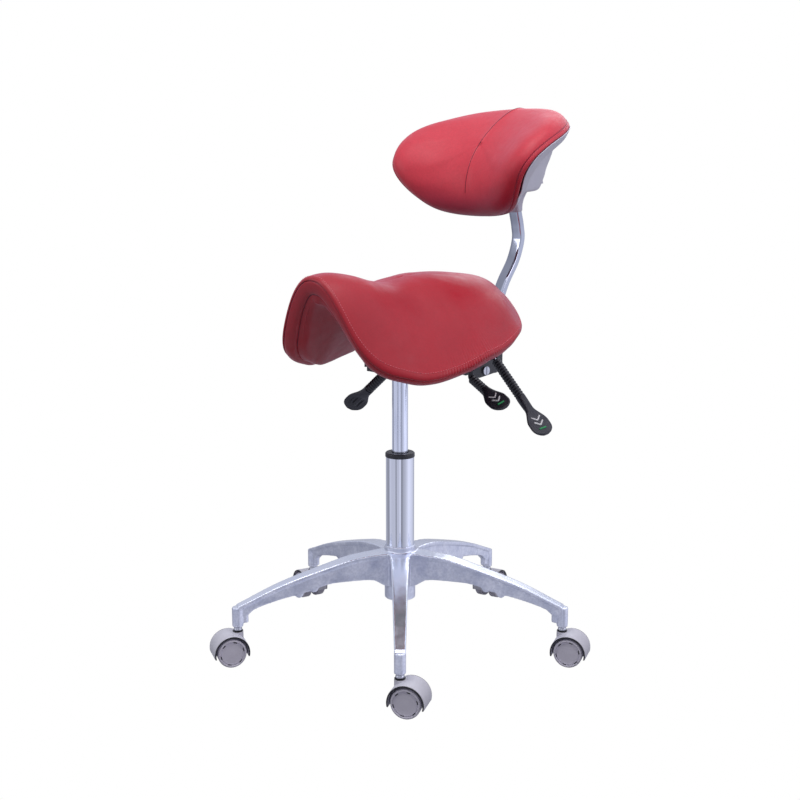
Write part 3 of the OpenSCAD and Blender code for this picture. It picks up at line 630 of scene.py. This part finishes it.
def build_seat():
    outline = resample(seat_outline, 420, lambda p: 1 + 1.2 * flap_bottom(p))
    top = [(q, 0.0) for q in np.linspace(0.03, 0.9, 26)]
    top += [(q, 0.0) for q in (0.92, 0.935, 0.95, 0.962)]
    shoulder = [(0.97 + 0.03 * math.sin(a), 6.0 * (1 - math.cos(a))) for a in np.linspace(0.1, math.pi / 2, 6)]
    groove = [(1.0, 6.9), (0.9935, 7.8), (1.0005, 8.8)]
    band = [(1.004, 11.0), (1.0065, 15.0), (1.007, 20.0), (1.005, 25.0), (0.999, 28.6), (0.99, 30.6), (0.978, 31.2)]
    under = [(q, cushion_depth(q)) for q in (0.95, 0.8, 0.55, 0.25)]
    rows = top + shoulder + groove + band + under
    rings = np.array([seat_point(outline, q, depth) for q, depth in rows])
    start = seat_point(outline[:1], 0, 0)[0]
    end = seat_point(outline[:1], 0, cushion_depth(0))[0]
    seam_row = len(top) + len(shoulder) + 1
    hold = np.zeros(rings.shape[:2])
    hold[seam_row - 2 :] = 1.0
    rings, start, end = swell(rings, start, end, hold, 5.0, 40)
    rings = doubled(doubled(rings, 1, True), 0, False)
    fine_outline = doubled(outline, 0, True)

    # gathers: small folds run out from the seam at the bottom of each flap
    arc = np.concatenate([[0], np.cumsum(np.linalg.norm(np.diff(fine_outline, axis=0), axis=1))])
    rng = np.random.default_rng(7)
    knots = np.arange(0, arc[-1] + 20, 20)
    wander = np.interp(arc, knots, rng.uniform(-1.4, 1.4, len(knots)))
    knots = np.arange(0, arc[-1] + 12, 12)
    reach = np.interp(arc, knots, rng.uniform(6, 17, len(knots)))
    wave = np.sin(2 * math.pi * arc / GATHER_PITCH + wander)
    normals = grid_normals(rings)
    seam = 2 * seam_row
    distance = np.linalg.norm(rings[:seam] - rings[seam], axis=2)
    size = GATHER_SIZE * flap_bottom(fine_outline) * np.exp(-distance / reach) * smoothstep(distance / 2.5)
    rings[:seam] += normals[:seam] * (size * wave)[..., None]

    cover = closed_grid("seat_cover", rings, start, end, M["seat"])
    # painted shade along the seam groove of the seat cover
    mark_painted_shade(cover, np.zeros(rings.shape[:2]), seam)
    place(cover, "seat", "seat_leather", "seat_cushion")

    row = 2 * len(top)
    thread = stitches("seat_stitches", rings[row], normals[row], *SEAT_STITCHES, M["thread"])
    place(thread, "seat", "seat_leather")


def build_underside():
    """Red cover of the hollow under the seat, wrapped round the board's edge."""
    outline = resample(seat_outline, 240)
    lip = [(0.984, -1.5), (0.986, 3.0), (0.985, 7.0), (0.978, 11.0), (0.965, 13.4)]
    face = [(q, COVER_DEPTH) for q in np.linspace(0.94, 0.5, 12)]
    inside = [(q, COVER_INSIDE) for q in (0.5, 0.7, 0.9, 0.955)] + [(0.979, 6.0), (0.979, -1.5)]
    rings = np.array([seat_point(outline, q, cushion_depth(q) + below) for q, below in lip + face + inside])
    skin = ring_of_rings("seat_underside", rings, M["seat"], 60)
    place(skin, "seat", "seat_leather", "seat_undercover")

    # welt between cover and cushion
    path = seat_point(outline, 0.982, cushion_depth(0.982) + 0.6)
    place(cord("seat_edge_strip", path, 1.1, M["dark_thread"], closed=True), "seat", "seat_leather")


# ---- backrest
WRAP = 195.0  # radius of the bend round the sitter
BACK_PAD = 48.0  # thickness of the cushion in the middle
BACK_BAND = 9.0  # thickness at its edge
BACK_MID = np.array([0.0, 108.0])
FLARE = 0.62  # share of the lean that widens the bend
BACK_FRONT = 203.0
BACK_STITCHES = (4.6, 3.0, 0.35)
back_line = spline([(203, 752), (202, 795), (211, 830), (231, 858), (259, 882), (293, 905), (332, 932)], 40)
back_run = np.concatenate([[0], np.cumsum(np.linalg.norm(np.diff(back_line, axis=0), axis=1))])
back_outline = mirrored_loop([(0, 8), (95, 19), (162, 60), (188, 110), (163, 176),
                              (88, back_run[-1] - 16), (0, back_run[-1] - 4)], 60)
hump_depth = spline([(796, 0), (803, 66), (808, 108), (832, 117), (851, 112), (871, 103),
                     (890, 84), (905, 54), (918, 20), (930, 0)], 20)
HUMP_HALF = 60.0


def back_surface(s, h):
    """Point s round the wrap and h up the middle line of the backrest's parting surface."""
    lean = np.interp(h, back_run, back_line[:, 0]) - BACK_FRONT
    a = s / WRAP
    r = WRAP + FLARE * lean
    y = BACK_FRONT - WRAP + r * np.cos(a) + (1 - FLARE) * lean
    return np.stack([r * np.sin(a), y, np.interp(h, back_run, back_line[:, 1])], -1)


def back_normal(s, h, e=1.0):
    up = back_surface(s, h + e) - back_surface(s, h - e)
    across = back_surface(s + e, h) - back_surface(s - e, h)
    return unit(np.cross(up, across))


def back_ring(outline, q, front, humped=False):
    """Ring q of the way out, front millimetres in front of the parting surface."""
    s, h = (BACK_MID + (outline - BACK_MID) * q).T
    p = back_surface(s, h)
    moved = p - front * back_normal(s, h)
    if humped:
        side = 1 / (1 + (np.abs(p[:, 0]) / HUMP_HALF) ** 4)
        inside = (p[:, 2] > 796) & (p[:, 2] < 930)
        moved[:, 1] += np.interp(p[:, 2], hump_depth[:, 0], hump_depth[:, 1]) * side * inside
    return moved


def pad_depth(q):
    """Thickness of the back cushion q of the way out: full in the middle, rolling over to the side band."""
    return BACK_BAND + (BACK_PAD - BACK_BAND) * np.maximum(1 - q**5, 0) ** (1 / 2.2)


def build_back_cushion():
    outline = resample(back_outline, 360)
    front = [(math.sin(t), float(pad_depth(math.sin(t)))) for t in np.linspace(0.04, math.pi / 2, 44)]
    groove = [(1.0, BACK_BAND - 0.7), (0.994, BACK_BAND - 1.6), (1.0, BACK_BAND - 2.6)]
    band = [(1.0035, BACK_BAND - 4.5), (1.003, 2.5), (0.999, 0.6), (0.99, 0.0)]
    back = [(q, 0.0) for q in (0.95, 0.7, 0.4, 0.15)]
    rows = front + groove + band + back
    rings = np.array([back_ring(outline, q, depth) for q, depth in rows])
    mid = BACK_MID[None, :]
    seam = 2 * (len(front) + 1)
    share = np.array([q for q, _ in rows])[:, None]
    s_at = BACK_MID[0] + (outline[:, 0] - BACK_MID[0]) * share
    on_front = (np.arange(len(rows)) < len(front) - 2)[:, None]
    hold = np.where(on_front, np.exp(-((s_at / 2.4) ** 2)), 1.0)
    start, end = back_ring(mid, 1, BACK_PAD)[0], back_ring(mid, 1, 0.0)[0]
    rings, start, end = swell(rings, start, end, hold, 3.0, 40)
    rings = doubled(doubled(rings, 1, True), 0, False)

    # the middle seam draws the cover in and fades out near the bottom, where painted shade darkens the cover
    share = doubled(share, 0, False)
    fine_outline = doubled(outline, 0, True)
    s_at = fine_outline[:, 0] * share
    h_at = BACK_MID[1] + (fine_outline[:, 1] - BACK_MID[1]) * share
    on_front = (np.arange(len(rings)) < 2 * (len(front) - 2))[:, None]
    fade = smoothstep((h_at - 22) / 60)
    draw = (0.9 * np.exp(-((s_at / 9.0) ** 2)) + 0.9 * np.exp(-((s_at / 2.2) ** 2))) * fade * on_front
    normals = grid_normals(rings, flip=True)
    rings = rings - normals * draw[..., None]
    start = start + np.array([0, 1.8, 0])
    cover = closed_grid("back_cover", rings, start, end, M["back"], flip=True)
    # painted shade: the back cover darkens towards its bottom edge and along the seam row
    mark_painted_shade(cover, 0.85 * smoothstep((72 - h_at) / 70) * smoothstep((share - 0.45) / 0.4), seam)
    place(cover, "backrest", "back_leather", "back_cushion")

    # dark line of the middle seam, lying in its groove
    up = np.linspace(46, back_run[-1] - 9, 90)
    reach_up, reach_down = back_run[-1] - 4 - BACK_MID[1], BACK_MID[1] - 10
    q_up = np.where(up > BACK_MID[1], (up - BACK_MID[1]) / reach_up, (BACK_MID[1] - up) / reach_down)
    q_rows = share[: 2 * len(front), 0]
    top_col = int(np.argmin(np.abs(fine_outline[:, 0]) + (fine_outline[:, 1] < BACK_MID[1]) * 1e3))
    low_col = int(np.argmin(np.abs(fine_outline[:, 0]) + (fine_outline[:, 1] > BACK_MID[1]) * 1e3))
    line = []
    for h, q in zip(up, q_up):
        column = rings[: 2 * len(front), top_col if h > BACK_MID[1] else low_col]
        line.append([0.0] + [np.interp(min(q, 0.985), q_rows, column[:, a]) for a in (1, 2)])
    line = np.array(line)
    for a in (1, 2):
        line[2:-2, a] = np.convolve(line[:, a], np.ones(5) / 5, "valid")
    place(cord("back_middle_seam", line, 0.55, M["dark_thread"]), "backrest", "back_leather")

    for name, row in (("back_stitches", seam + 3), ("back_top_stitches", seam - 4)):
        thread = stitches(name, rings[row], normals[row], *BACK_STITCHES, M["dark_thread"])
        place(thread, "backrest", "back_leather")


BAR_TOP = Vector((0, 288, 762))
BAR_LEAN = Vector((0, -26, 106)).normalized()
bar_top_frame = Matrix.Translation(BAR_TOP) @ Matrix.Rotation(math.atan2(26, 106), 4, "X")
SCREW_X = 30
SCREW_Z = 54
SCREW_HOLE = 4.6
BAR_HALF = (12, 6)
BAR_STRAIGHT = 109  # length of the bar's straight top
OPENING = (17, 11)  # half the size of the slot in the shell for the bar
SHELL_WALL = 3.0
SHELL_GAP = 0.4  # between the shell and the cushion
SHELL_BULGE = 6.5  # extra fullness away from the rim
# throat of the shell: height on the bar, half-width, half-depth, shift to the rear
THROAT_OUTSIDE = [(46, 25, 21, 8), (40, 22.5, 18.5, 7), (32, 19, 14.5, 4.5), (24, 16.4, 11, 2.5),
                  (16, 14.8, 8.8, 1), (8, 14, 7.8, 0.3), (5, 13.6, 7.4, 0.2), (4, 13, 6.8, 0)]
THROAT_INSIDE = [(4.4, 12.5, 6.5, 0), (30, 12.5, 6.5, 0), (46, 12.5, 6.5, 0)]


def cutter(name, matrix, low, high):
    """Box used to cut an opening, given by two corners in a local frame."""
    corners = [(x, y, z) for z in (low[2], high[2]) for y in (low[1], high[1]) for x in (low[0], high[0])]
    faces = [(0, 2, 3, 1), (4, 5, 7, 6), (0, 1, 5, 4), (2, 6, 7, 3), (0, 4, 6, 2), (1, 3, 7, 5)]
    return make_object(name, in_frame(matrix, corners), faces, M["black"])


def cut(obj, tool):
    mod = obj.modifiers.new("cut", "BOOLEAN")
    mod.operation = "DIFFERENCE"
    mod.solver = "EXACT"
    mod.object = tool
    apply_modifiers(obj)
    bpy.data.objects.remove(tool)


def build_back_shell():
    outline = resample(back_outline, 400)
    inside, outside = -SHELL_GAP, -SHELL_GAP - SHELL_WALL
    outer = [(q, outside - SHELL_BULGE * smoothstep((1 - q) / 0.13)) for q in np.linspace(0.012, 0.965, 84)]
    lip = [(0.98, outside + 0.2), (0.992, outside + 0.9), (0.9985, inside - 1.4), (0.997, inside - 0.3)]
    inner = [(q, inside) for q in (0.985, 0.96, *np.linspace(0.94, 0.02, 60))]
    rings = np.array([back_ring(outline, q, depth, humped=True) for q, depth in outer + lip + inner])
    mid = BACK_MID[None, :]
    start, end = (back_ring(mid, 1, depth, humped=True)[0] for depth in (outside, inside))
    shell = closed_grid("back_shell_skin", rings, start, end, M["shell"])
    smooth = shell.modifiers.new("smooth", "SMOOTH")
    smooth.iterations = 4
    apply_modifiers(shell)
    wide, deep = OPENING
    cut(shell, cutter("bar_opening", bar_top_frame, (-wide, -deep, -30), (wide, deep, 60)))
    for x in (-SCREW_X, SCREW_X):
        turn = bar_top_frame @ Matrix.Translation((x, 40, SCREW_Z)) @ Matrix.Rotation(math.radians(-90), 4, "X")
        hole = [(0.01, 0), (SCREW_HOLE, 0), (SCREW_HOLE, 45), (0.01, 45)]
        cut(shell, lathe("screw_hole", [hole], [turn], M["black"], 32))
    shell.data.polygons.foreach_set("use_smooth", [True] * len(shell.data.polygons))
    shell.data.set_sharp_from_angle(angle=math.radians(50))
    place(shell, "backrest", "shell_plastic", "back_shell")
    build_shell_neck()


def build_shell_neck():
    """Tapering throat of the shell round the bar, below the hump."""
    angle = np.linspace(0, 2 * math.pi, 64, endpoint=False)
    rings = []
    for z, half_width, half_depth, back in THROAT_OUTSIDE + THROAT_INSIDE:
        x, y = squarish(angle, half_width, half_depth, 0.45)
        rings.append(in_frame(bar_top_frame, [(a, b + back, z) for a, b in zip(x, y)]))
    neck = ring_of_rings("shell_neck", np.array(rings), M["shell"], 50)
    place(neck, "backrest", "shell_plastic")


# ---- bar
def build_bar():
    top, lean = np.array(BAR_TOP)[1:], np.array(BAR_LEAN)
    bend = spline([(213, 488.2), (221, 540), (236, 590), (257, 636), (283, 676), (296, 713), (294, 738), top], 40)
    straight = top + np.linspace(0, BAR_STRAIGHT, 30)[1:, None] * lean[1:]
    line = np.vstack([bend, straight])
    direction = unit(np.gradient(line, axis=0))
    across, out = squarish((np.arange(64) + 0.5) / 64 * 2 * math.pi, *BAR_HALF, 0.3)
    rings = []
    for (y, z), (dy, dz) in zip(line, direction):
        rings.append(np.stack([across, y + out * dz, z - out * dy], 1))
    start, end = (np.array([0, *line[k]]) for k in (0, -1))
    for inset, rise in ((0.96, 0.5), (0.86, 0.9)):
        rings.append(end + (rings[len(line) - 1] - end) * inset + rise * lean)
    bar = closed_grid("back_bar_polished", np.array(rings), start, end + 0.9 * lean, M["bar"], sharp=50)
    place(bar, "bar", "bar_chrome", "back_bar")


# ---- levers
# pivot in the mechanism, bend of the rod and tip of the paddle as in the CAD; how far the sleeve reaches
# from the bend; the paddle's turn about the rod in degrees
LEVERS = {
    "height_lever": ((-38, 2, 507), (-42, 2, 488), (-142, 2, 410), 54, 38),
    "seat_lever": ((40, 136, 509), (40, 134.5, 476), (140, 119, 436), 44, 25),
    "back_lever": ((34, 196, 508.5), (41, 195, 503), (190, 170, 390), 98, 18),
}
SLEEVE_START = 4
SLEEVE_R = 8.8
RIB_PITCH = 6.2
RIB_DEPTH = 2.6
BOOT_R = 5.2
ROD_R = 3.0
NECK_HALF = 8.2
PADDLE_HALF = 19.5
BLADE = 60.0
BLADE_THICK = 3.6
BLADE_DROP = 2.0  # the blade lies this far above the rod's line
SPINE_R = 4.2
MARK_R = 1.6
MARK_FACE = -4.25


def build_sleeve(body, pivot, bend, out, length, matrix):
    """Corrugated rubber sleeve, with a plain boot over the bend up towards the pivot."""
    ribs = int(length // RIB_PITCH)
    steps = 12
    profile = [(ROD_R, 0.0)]
    for i in range(ribs * steps + 1):
        t = i / steps
        wave = 0.5 - 0.5 * math.cos(2 * math.pi * t)
        profile.append((SLEEVE_R - RIB_DEPTH * (1 - wave**0.6), t * length / ribs))
    profile.append((ROD_R, length))
    sleeve = lathe(body + "_grip", [profile], [matrix], M["sleeve"], 48, 60)
    place(sleeve, body, "sleeve_rubber", body + "_sleeve")
    up = unit(pivot - bend)
    reach = np.linalg.norm(pivot - bend) - 9
    if reach > 4:
        path = spline([bend + up * reach, bend + up * reach * 0.5, bend + up * 5, bend + (up + out) * 0.8,
                       bend + out * 5], 6)
        place(cord(body + "_grip_boot", path, BOOT_R, M["sleeve"], sides=24), body, "sleeve_rubber")


def paddle_half_width(z, length):
    """Half the paddle's width at z: a neck, a swelling blade and a round tip."""
    half = NECK_HALF + (PADDLE_HALF - NECK_HALF) * smoothstep((z - (length - BLADE) + 4) / (BLADE - 24))
    round_from = length - PADDLE_HALF * 1.05
    t = np.clip((z - round_from) / (length - round_from), 0, 1)
    return half * np.sqrt(np.maximum(1 - t**2.3, 0))


def build_paddle(body, length, matrix):
    z = length * np.concatenate([np.linspace(0, 0.8, 44), 0.8 + 0.2 * np.sin(np.linspace(0, math.pi / 2, 24))[1:]])
    angle = (np.arange(56) + 0.5) / 56 * 2 * math.pi
    rings = []
    for h in z:
        half = max(float(paddle_half_width(h, length)), 0.15)
        along = h / length
        thick = NECK_HALF + (BLADE_THICK - NECK_HALF) * smoothstep((along - 0.05) / 0.55)
        thick *= min(1.0, half / 7.0) ** 0.6
        x, y = squarish(angle, thick, half, 0.75 + 0.1 * smoothstep(along * 2))
        blade = smoothstep((along - 0.25) / 0.3)
        dish = blade * (1 - np.clip(np.abs(y) / max(half - 2.4, 0.2), 0, 1) ** 4)
        x = x + np.where(x < 0, 1.5, -1.1) * dish * min(1.0, half / 12)
        rings.append(in_frame(matrix, np.stack([x - BLADE_DROP * blade, y, np.full_like(x, h)], 1)))
    start, end = in_frame(matrix, [(0, 0, 0), (-BLADE_DROP, 0, length + 0.1)])
    paddle = closed_grid(body + "_spoon", np.array(rings), start, end, M["paddle"], sharp=55)
    place(paddle, body, "paddle_plastic", body + "_paddle")

    def bead(name, points, radius, material, sides=8):
        obj = cord(f"{body}_spoon_{name}", in_frame(matrix, points), radius, M[material], sides=sides)
        place(obj, body, "paddle_plastic")

    bead("spine", [(0.6, 0, z) for z in np.linspace(4, length - 20, 16)], SPINE_R, "paddle", 20)
    if body == "height_lever":
        for name, y in (("rib_a", -8.5), ("rib_b", 8.5)):
            bead(name, [(0.8, y, length - v) for v in np.linspace(46, 16, 12)], 1.5, "paddle")
        return
    # generic raised sign: two white chevrons and a green bar
    for k, centre in enumerate((length - 38.0, length - 27.0)):
        chevron = [(MARK_FACE, y, centre + 6.0 - abs(y)) for y in np.linspace(-8.0, 8.0, 13)]
        bead(f"mark_{k}", chevron, MARK_R, "white")
    bead("mark_bar", [(MARK_FACE, y, length - 13.5) for y in np.linspace(-6.5, 6.5, 8)], MARK_R, "green")


def build_levers():
    for body, (pivot, bend, tip, sleeve, roll) in LEVERS.items():
        pivot, bend, tip = (np.array(p, float) for p in (pivot, bend, tip))
        out = unit(tip - bend)
        grip = axis_frame(bend + SLEEVE_START * out, tip)
        build_sleeve(body, pivot, bend, out, sleeve - SLEEVE_START, grip)
        spoon = axis_frame(bend + sleeve * out, tip) @ Matrix.Rotation(math.radians(roll), 4, "Z")
        build_paddle(body, np.linalg.norm(tip - bend) - sleeve, spoon)


# ---- column and base
def span(node):
    low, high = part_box(node)
    return low.z / MM, high.z / MM


def build_column():
    here = [Matrix.Identity(4)]
    hub_top = span("base_casting")[1]
    low, high = span("outer_tube")
    tube = rounded([(23, hub_top), (25, hub_top), (25, high), (23, high)], 0.5)
    lower = rounded([(20, low + 4), (22, low), (22, hub_top - 6), (25, hub_top - 6), (25, hub_top + 1),
                     (23, hub_top + 1), (20, hub_top - 2)], 0.3, 3)
    place(lathe("column_tube", [tube, lower], here, M["chrome"]), "base", "tube_chrome", "outer_tube")
    top = span("guide_bush")[1]
    collar = rounded([(14.05, high - 70), (22.9, high - 70), (22.9, high), (26, high), (26, high + 6.4),
                      (24.6, top), (15.6, top), (15.2, top - 1.6), (14.05, top - 1.6)], 0.6)
    place(lathe("column_collar", [collar], here, M["black"]), "base", "black_plastic", "guide_bush")
    low, high = span("pressure_tube")
    lift = rounded([(3.1, high - 6), (12.5, high - 6), (12.5, low), (14, low), (14, high), (3.1, high)], 0.6)
    place(lathe("lift_tube", [lift], here, M["satin"]), "mechanism", "satin_steel", "pressure_tube")


casters = {}
for joint in frame["joints"]:
    name = joint["name"]
    if name.startswith("caster_"):
        casters.setdefault(name.split("_")[1], {})[name.split("_")[2]] = Vector(joint["pos_m"]) / MM


def build_base():
    place(soften("base_casting", "base_star", 1.5, 5, M["cast"]), "base", "cast_aluminium", "base_casting")
    stems = [Matrix.Translation((c["swivel"].x, c["swivel"].y, 0)) for c in casters.values()]
    shank = rounded([(0.01, 36), (4, 36), (4, 58), (5.5, 60), (5.5, 90), (0.01, 90)], 0.5)
    place(lathe("stem_shanks", [shank], stems, M["steel"], 48), "base", "bright_steel", "caster_stems")
    nut = rounded([(5.5, 60), (7.4, 60), (7.4, 62.6), (6.6, 63.2), (6.6, 66), (5.5, 66)], 0.5)
    place(lathe("stem_nuts", [nut], stems, M["steel"], 48), "base", "bright_steel", "stem_collars")
    washer = rounded([(5.6, 57.2), (9.0, 57.2), (9.0, 58.8), (5.6, 58.8)], 0.4)
    place(lathe("stem_washers", [washer], stems, M["trim"], 48), "base", "trim_black")


SLOT = ((19.2, -3.2), (20.9, -3.0), (20.9, 3.0), (19.2, 3.2))  # corners of a wheel's slot: radius, across


def build_caster(k):
    c = casters[k]
    place(soften(f"caster_{k}_housing", f"caster_hood_{k}", 0.6, 4, M["hood"]), f"caster_{k}", "caster_plastic",
          f"caster_{k}_housing")
    trail = Vector((c["roll"].x - c["swivel"].x, c["roll"].y - c["swivel"].y, 0)).normalized()
    axle = Vector((-trail.y, trail.x, 0))
    web = 6.8  # from the middle of the caster to the inner face of each wheel
    w = 22.5 - web
    disc = [(4.0, 0), (23.5, 0), (24.5, 0.5), (25, 1.6), (25, w - 2.4), (24.6, w - 1.2), (23.8, w - 0.4), (22.8, w),
            (21.9, w), (21.4, w - 0.5), (21.1, w - 1.3), (20.5, w - 1.5), (8.0, w - 1.0), (0.01, w - 0.9),
            (0.01, w - 2.6), (4.0, w - 2.6)]
    ring = [(18.4, w - 1.6), (18.9, w - 1.6), (19.0, w - 0.75), (18.3, w - 0.75)]
    sides = []
    for s in (-1, 1):
        z = axle * s
        turn = Matrix((trail, z.cross(trail), z)).transposed().to_4x4()
        sides.append(Matrix.Translation(c["roll"] + z * web) @ turn)
    wheels = lathe(f"caster_wheels_{k}", [disc, ring], sides, M["wheel"], 96, 30)
    place(wheels, f"wheels_{k}", "caster_tread", f"caster_{k}_wheels")
    points, faces = [], []
    quads = [(3, 2, 1, 0), (4, 5, 6, 7), (0, 1, 5, 4), (1, 2, 6, 5), (2, 3, 7, 6), (3, 0, 4, 7)]
    for side in sides:
        for i in range(6):
            turn = side @ Matrix.Rotation(math.radians(60 * i + 15), 4, "Z")
            faces += [tuple(len(points) + v for v in quad) for quad in quads]
            points += [turn @ Vector((r, t, z)) for z in (w - 1.9, w - 1.15) for r, t in SLOT]
    slots = make_object(f"caster_slots_{k}", np.array([tuple(p) for p in points]), faces, M["trim"], 30)
    place(slots, f"wheels_{k}", "trim_black")


CAD_FINISH = {
    "steel": "thrust_bearing piston_rod valve_pin seat_tilt_pin back_pivot_pin lever_pins bracket_screws "
             "back_spring height_lever_rod seat_lever_rod back_lever_rod seat_bolts shell_screws",
    "paint": "taper_socket mechanism_housing rear_bracket seat_plate bar_foot",
    "black": "piston rod_seal_plug",
    "seat": "seat_board",
    "shell": "bar_sleeve",
}
BEVELLED = {"mechanism_housing": 1.2, "rear_bracket": 1.2, "seat_plate": 1.0, "bar_foot": 1.4, "bar_sleeve": 1.0,
            "back_pivot_pin": 0.5, "taper_socket": 0.6}


def finish_cad_nodes():
    """Materials for the nodes that stay as the CAD has them, with a small round on the sheet and cast ones."""
    finish = {node: key for key, names in CAD_FINISH.items() for node in names.split()}
    for k in casters:
        finish[f"caster_{k}_trim"] = "trim"
        finish[f"caster_{k}_axle"] = "steel"
    for node, key in finish.items():
        obj = nodes[node]
        obj.data.materials.clear()
        obj.data.materials.append(M[key])
        if node in BEVELLED:
            bevel(obj, BEVELLED[node])


# ---- studio
# tone of the surroundings at each heading in degrees, as polished metal sees them
WORLD_BANDS = [(-180, 0.40), (-162, 0.27), (-142, 0.29), (-130, 0.58), (-112, 0.50), (-80, 0.50), (-74, 0.14),
               (-68, 0.48), (-48, 0.52), (-42, 0.72), (-34, 0.50), (-28, 0.14), (-20, 0.36), (5, 0.50), (34, 0.78),
               (80, 0.60), (110, 0.34), (179, 0.40)]
# place, size, power and tint of each softbox
SOFTBOXES = [((0.3, -0.5, 2.7), 1.6, 26, (1, 0.99, 1)), ((2.2, 0.9, 1.5), 1.0, 11, (1, 0.92, 1)),
             ((-1.6, -2.1, 1.7), 1.1, 9, (0.98, 0.98, 1)), ((-1.0, 2.0, 1.8), 1.2, 8, (1, 1, 1))]
CAMERA_AT = (1.5755, -1.4185, 0.845)
CAMERA_LENS = 55.6
CAMERA_DIP = 10.64
FLOOR = 9000


def upright_ramp(graph, height, low, high, top):
    """Colour that goes from low at the horizon to high at height top."""
    ramp = graph.add("ShaderNodeValToRGB", {0: height})
    ramp.color_ramp.elements[0].color = low
    ramp.color_ramp.elements[1].position = top
    ramp.color_ramp.elements[1].color = high
    return ramp.outputs[0]


def world_tone(graph, x, y, z):
    """Upright bright and dark bands, paler above."""
    turn = graph.between(graph.math("ARCTAN2", y, x), -math.pi, math.pi)
    bands = graph.add("ShaderNodeValToRGB", {0: turn})
    stops = bands.color_ramp.elements
    for k, (degrees, tone) in enumerate(WORLD_BANDS):
        at = (degrees + 180) / 360
        stop = stops[0] if k == 0 else stops[-1] if k == len(WORLD_BANDS) - 1 else stops.new(at)
        stop.position = at
        stop.color = (tone * 0.96, tone * 0.99, tone * 1.13, 1)
    above = upright_ramp(graph, z, (0.75, 0.75, 0.77, 1), (1.15, 1.15, 1.15, 1), 0.8)
    return graph.mix(1.0, bands.outputs[0], above, "MULTIPLY")


def build_world():
    """White to the camera, banded to polished metal, soft from above to everything else."""
    world = bpy.data.worlds.new("studio")
    world.use_nodes = True
    scene.world = world
    graph = Graph(world.node_tree)
    graph.tree.nodes.clear()
    direction = graph.add("ShaderNodeTexCoord").outputs["Generated"]
    x, y, z = graph.add("ShaderNodeSeparateXYZ", {0: direction}).outputs

    def background(colour, strength):
        return graph.add("ShaderNodeBackground", {0: colour, 1: strength}).outputs[0]

    ambient = background(upright_ramp(graph, z, (0.26, 0.25, 0.33, 1), (1.0, 1.0, 1.03, 1), 0.6), 0.5)
    shown = graph.one_of("Is Glossy Ray", ambient, background(world_tone(graph, x, y, z), 1.75))
    shown = graph.one_of("Is Camera Ray", shown, background((1, 1, 1, 1), 1.0))
    graph.add("ShaderNodeOutputWorld", {0: shown})


def aimed(name, data, at, direction):
    """Lamp or camera at a place, looking along a direction."""
    obj = bpy.data.objects.new(name, data)
    scene.collection.objects.link(obj)
    obj.location = at
    obj.rotation_euler = direction.to_track_quat("-Z", "Y").to_euler()
    return obj


def build_studio():
    corners = [(-FLOOR, -FLOOR, 0), (FLOOR, -FLOOR, 0), (FLOOR, FLOOR, 0), (-FLOOR, FLOOR, 0)]
    floor = make_object("floor", corners, [(0, 1, 2, 3)], floor_material())
    floor.visible_glossy = False
    build_world()
    for at, size, power, tint in SOFTBOXES:
        light = bpy.data.lights.new("softbox", "AREA")
        light.shape = "SQUARE"
        light.size = size
        light.energy = power
        light.color = tint
        aimed("softbox", light, at, Vector((0, 0, 0.55)) - Vector(at))
    camera = bpy.data.cameras.new("camera")
    camera.lens = CAMERA_LENS
    heading = Vector((-CAMERA_AT[0], -CAMERA_AT[1], 0)).normalized()
    heading.z = -math.tan(math.radians(CAMERA_DIP))
    scene.camera = aimed("camera", camera, CAMERA_AT, heading)
    scene.view_settings.view_transform = "Standard"


def floor_material():
    """Pure white to the camera, mid grey to the light that bounces off it."""
    s = Shader("studio_floor")
    s.set(Base_Color=s.grey(s.between(s.noise(0.8, 2), 0.3, 0.7, 0.19, 0.22)), Roughness=0.8)
    glow = s.add("ShaderNodeEmission", {"Color": (1, 1, 1, 1), "Strength": 1.0}).outputs[0]
    shown = s.one_of("Is Camera Ray", s.bsdf.outputs[0], glow)
    s.connect(s.tree.nodes["Material Output"].inputs[0], shown)
    return s.material


build_seat()
build_underside()
build_back_cushion()
build_back_shell()
build_bar()
build_levers()
build_column()
build_base()
for number in casters:
    build_caster(number)
finish_cad_nodes()
build_studio()
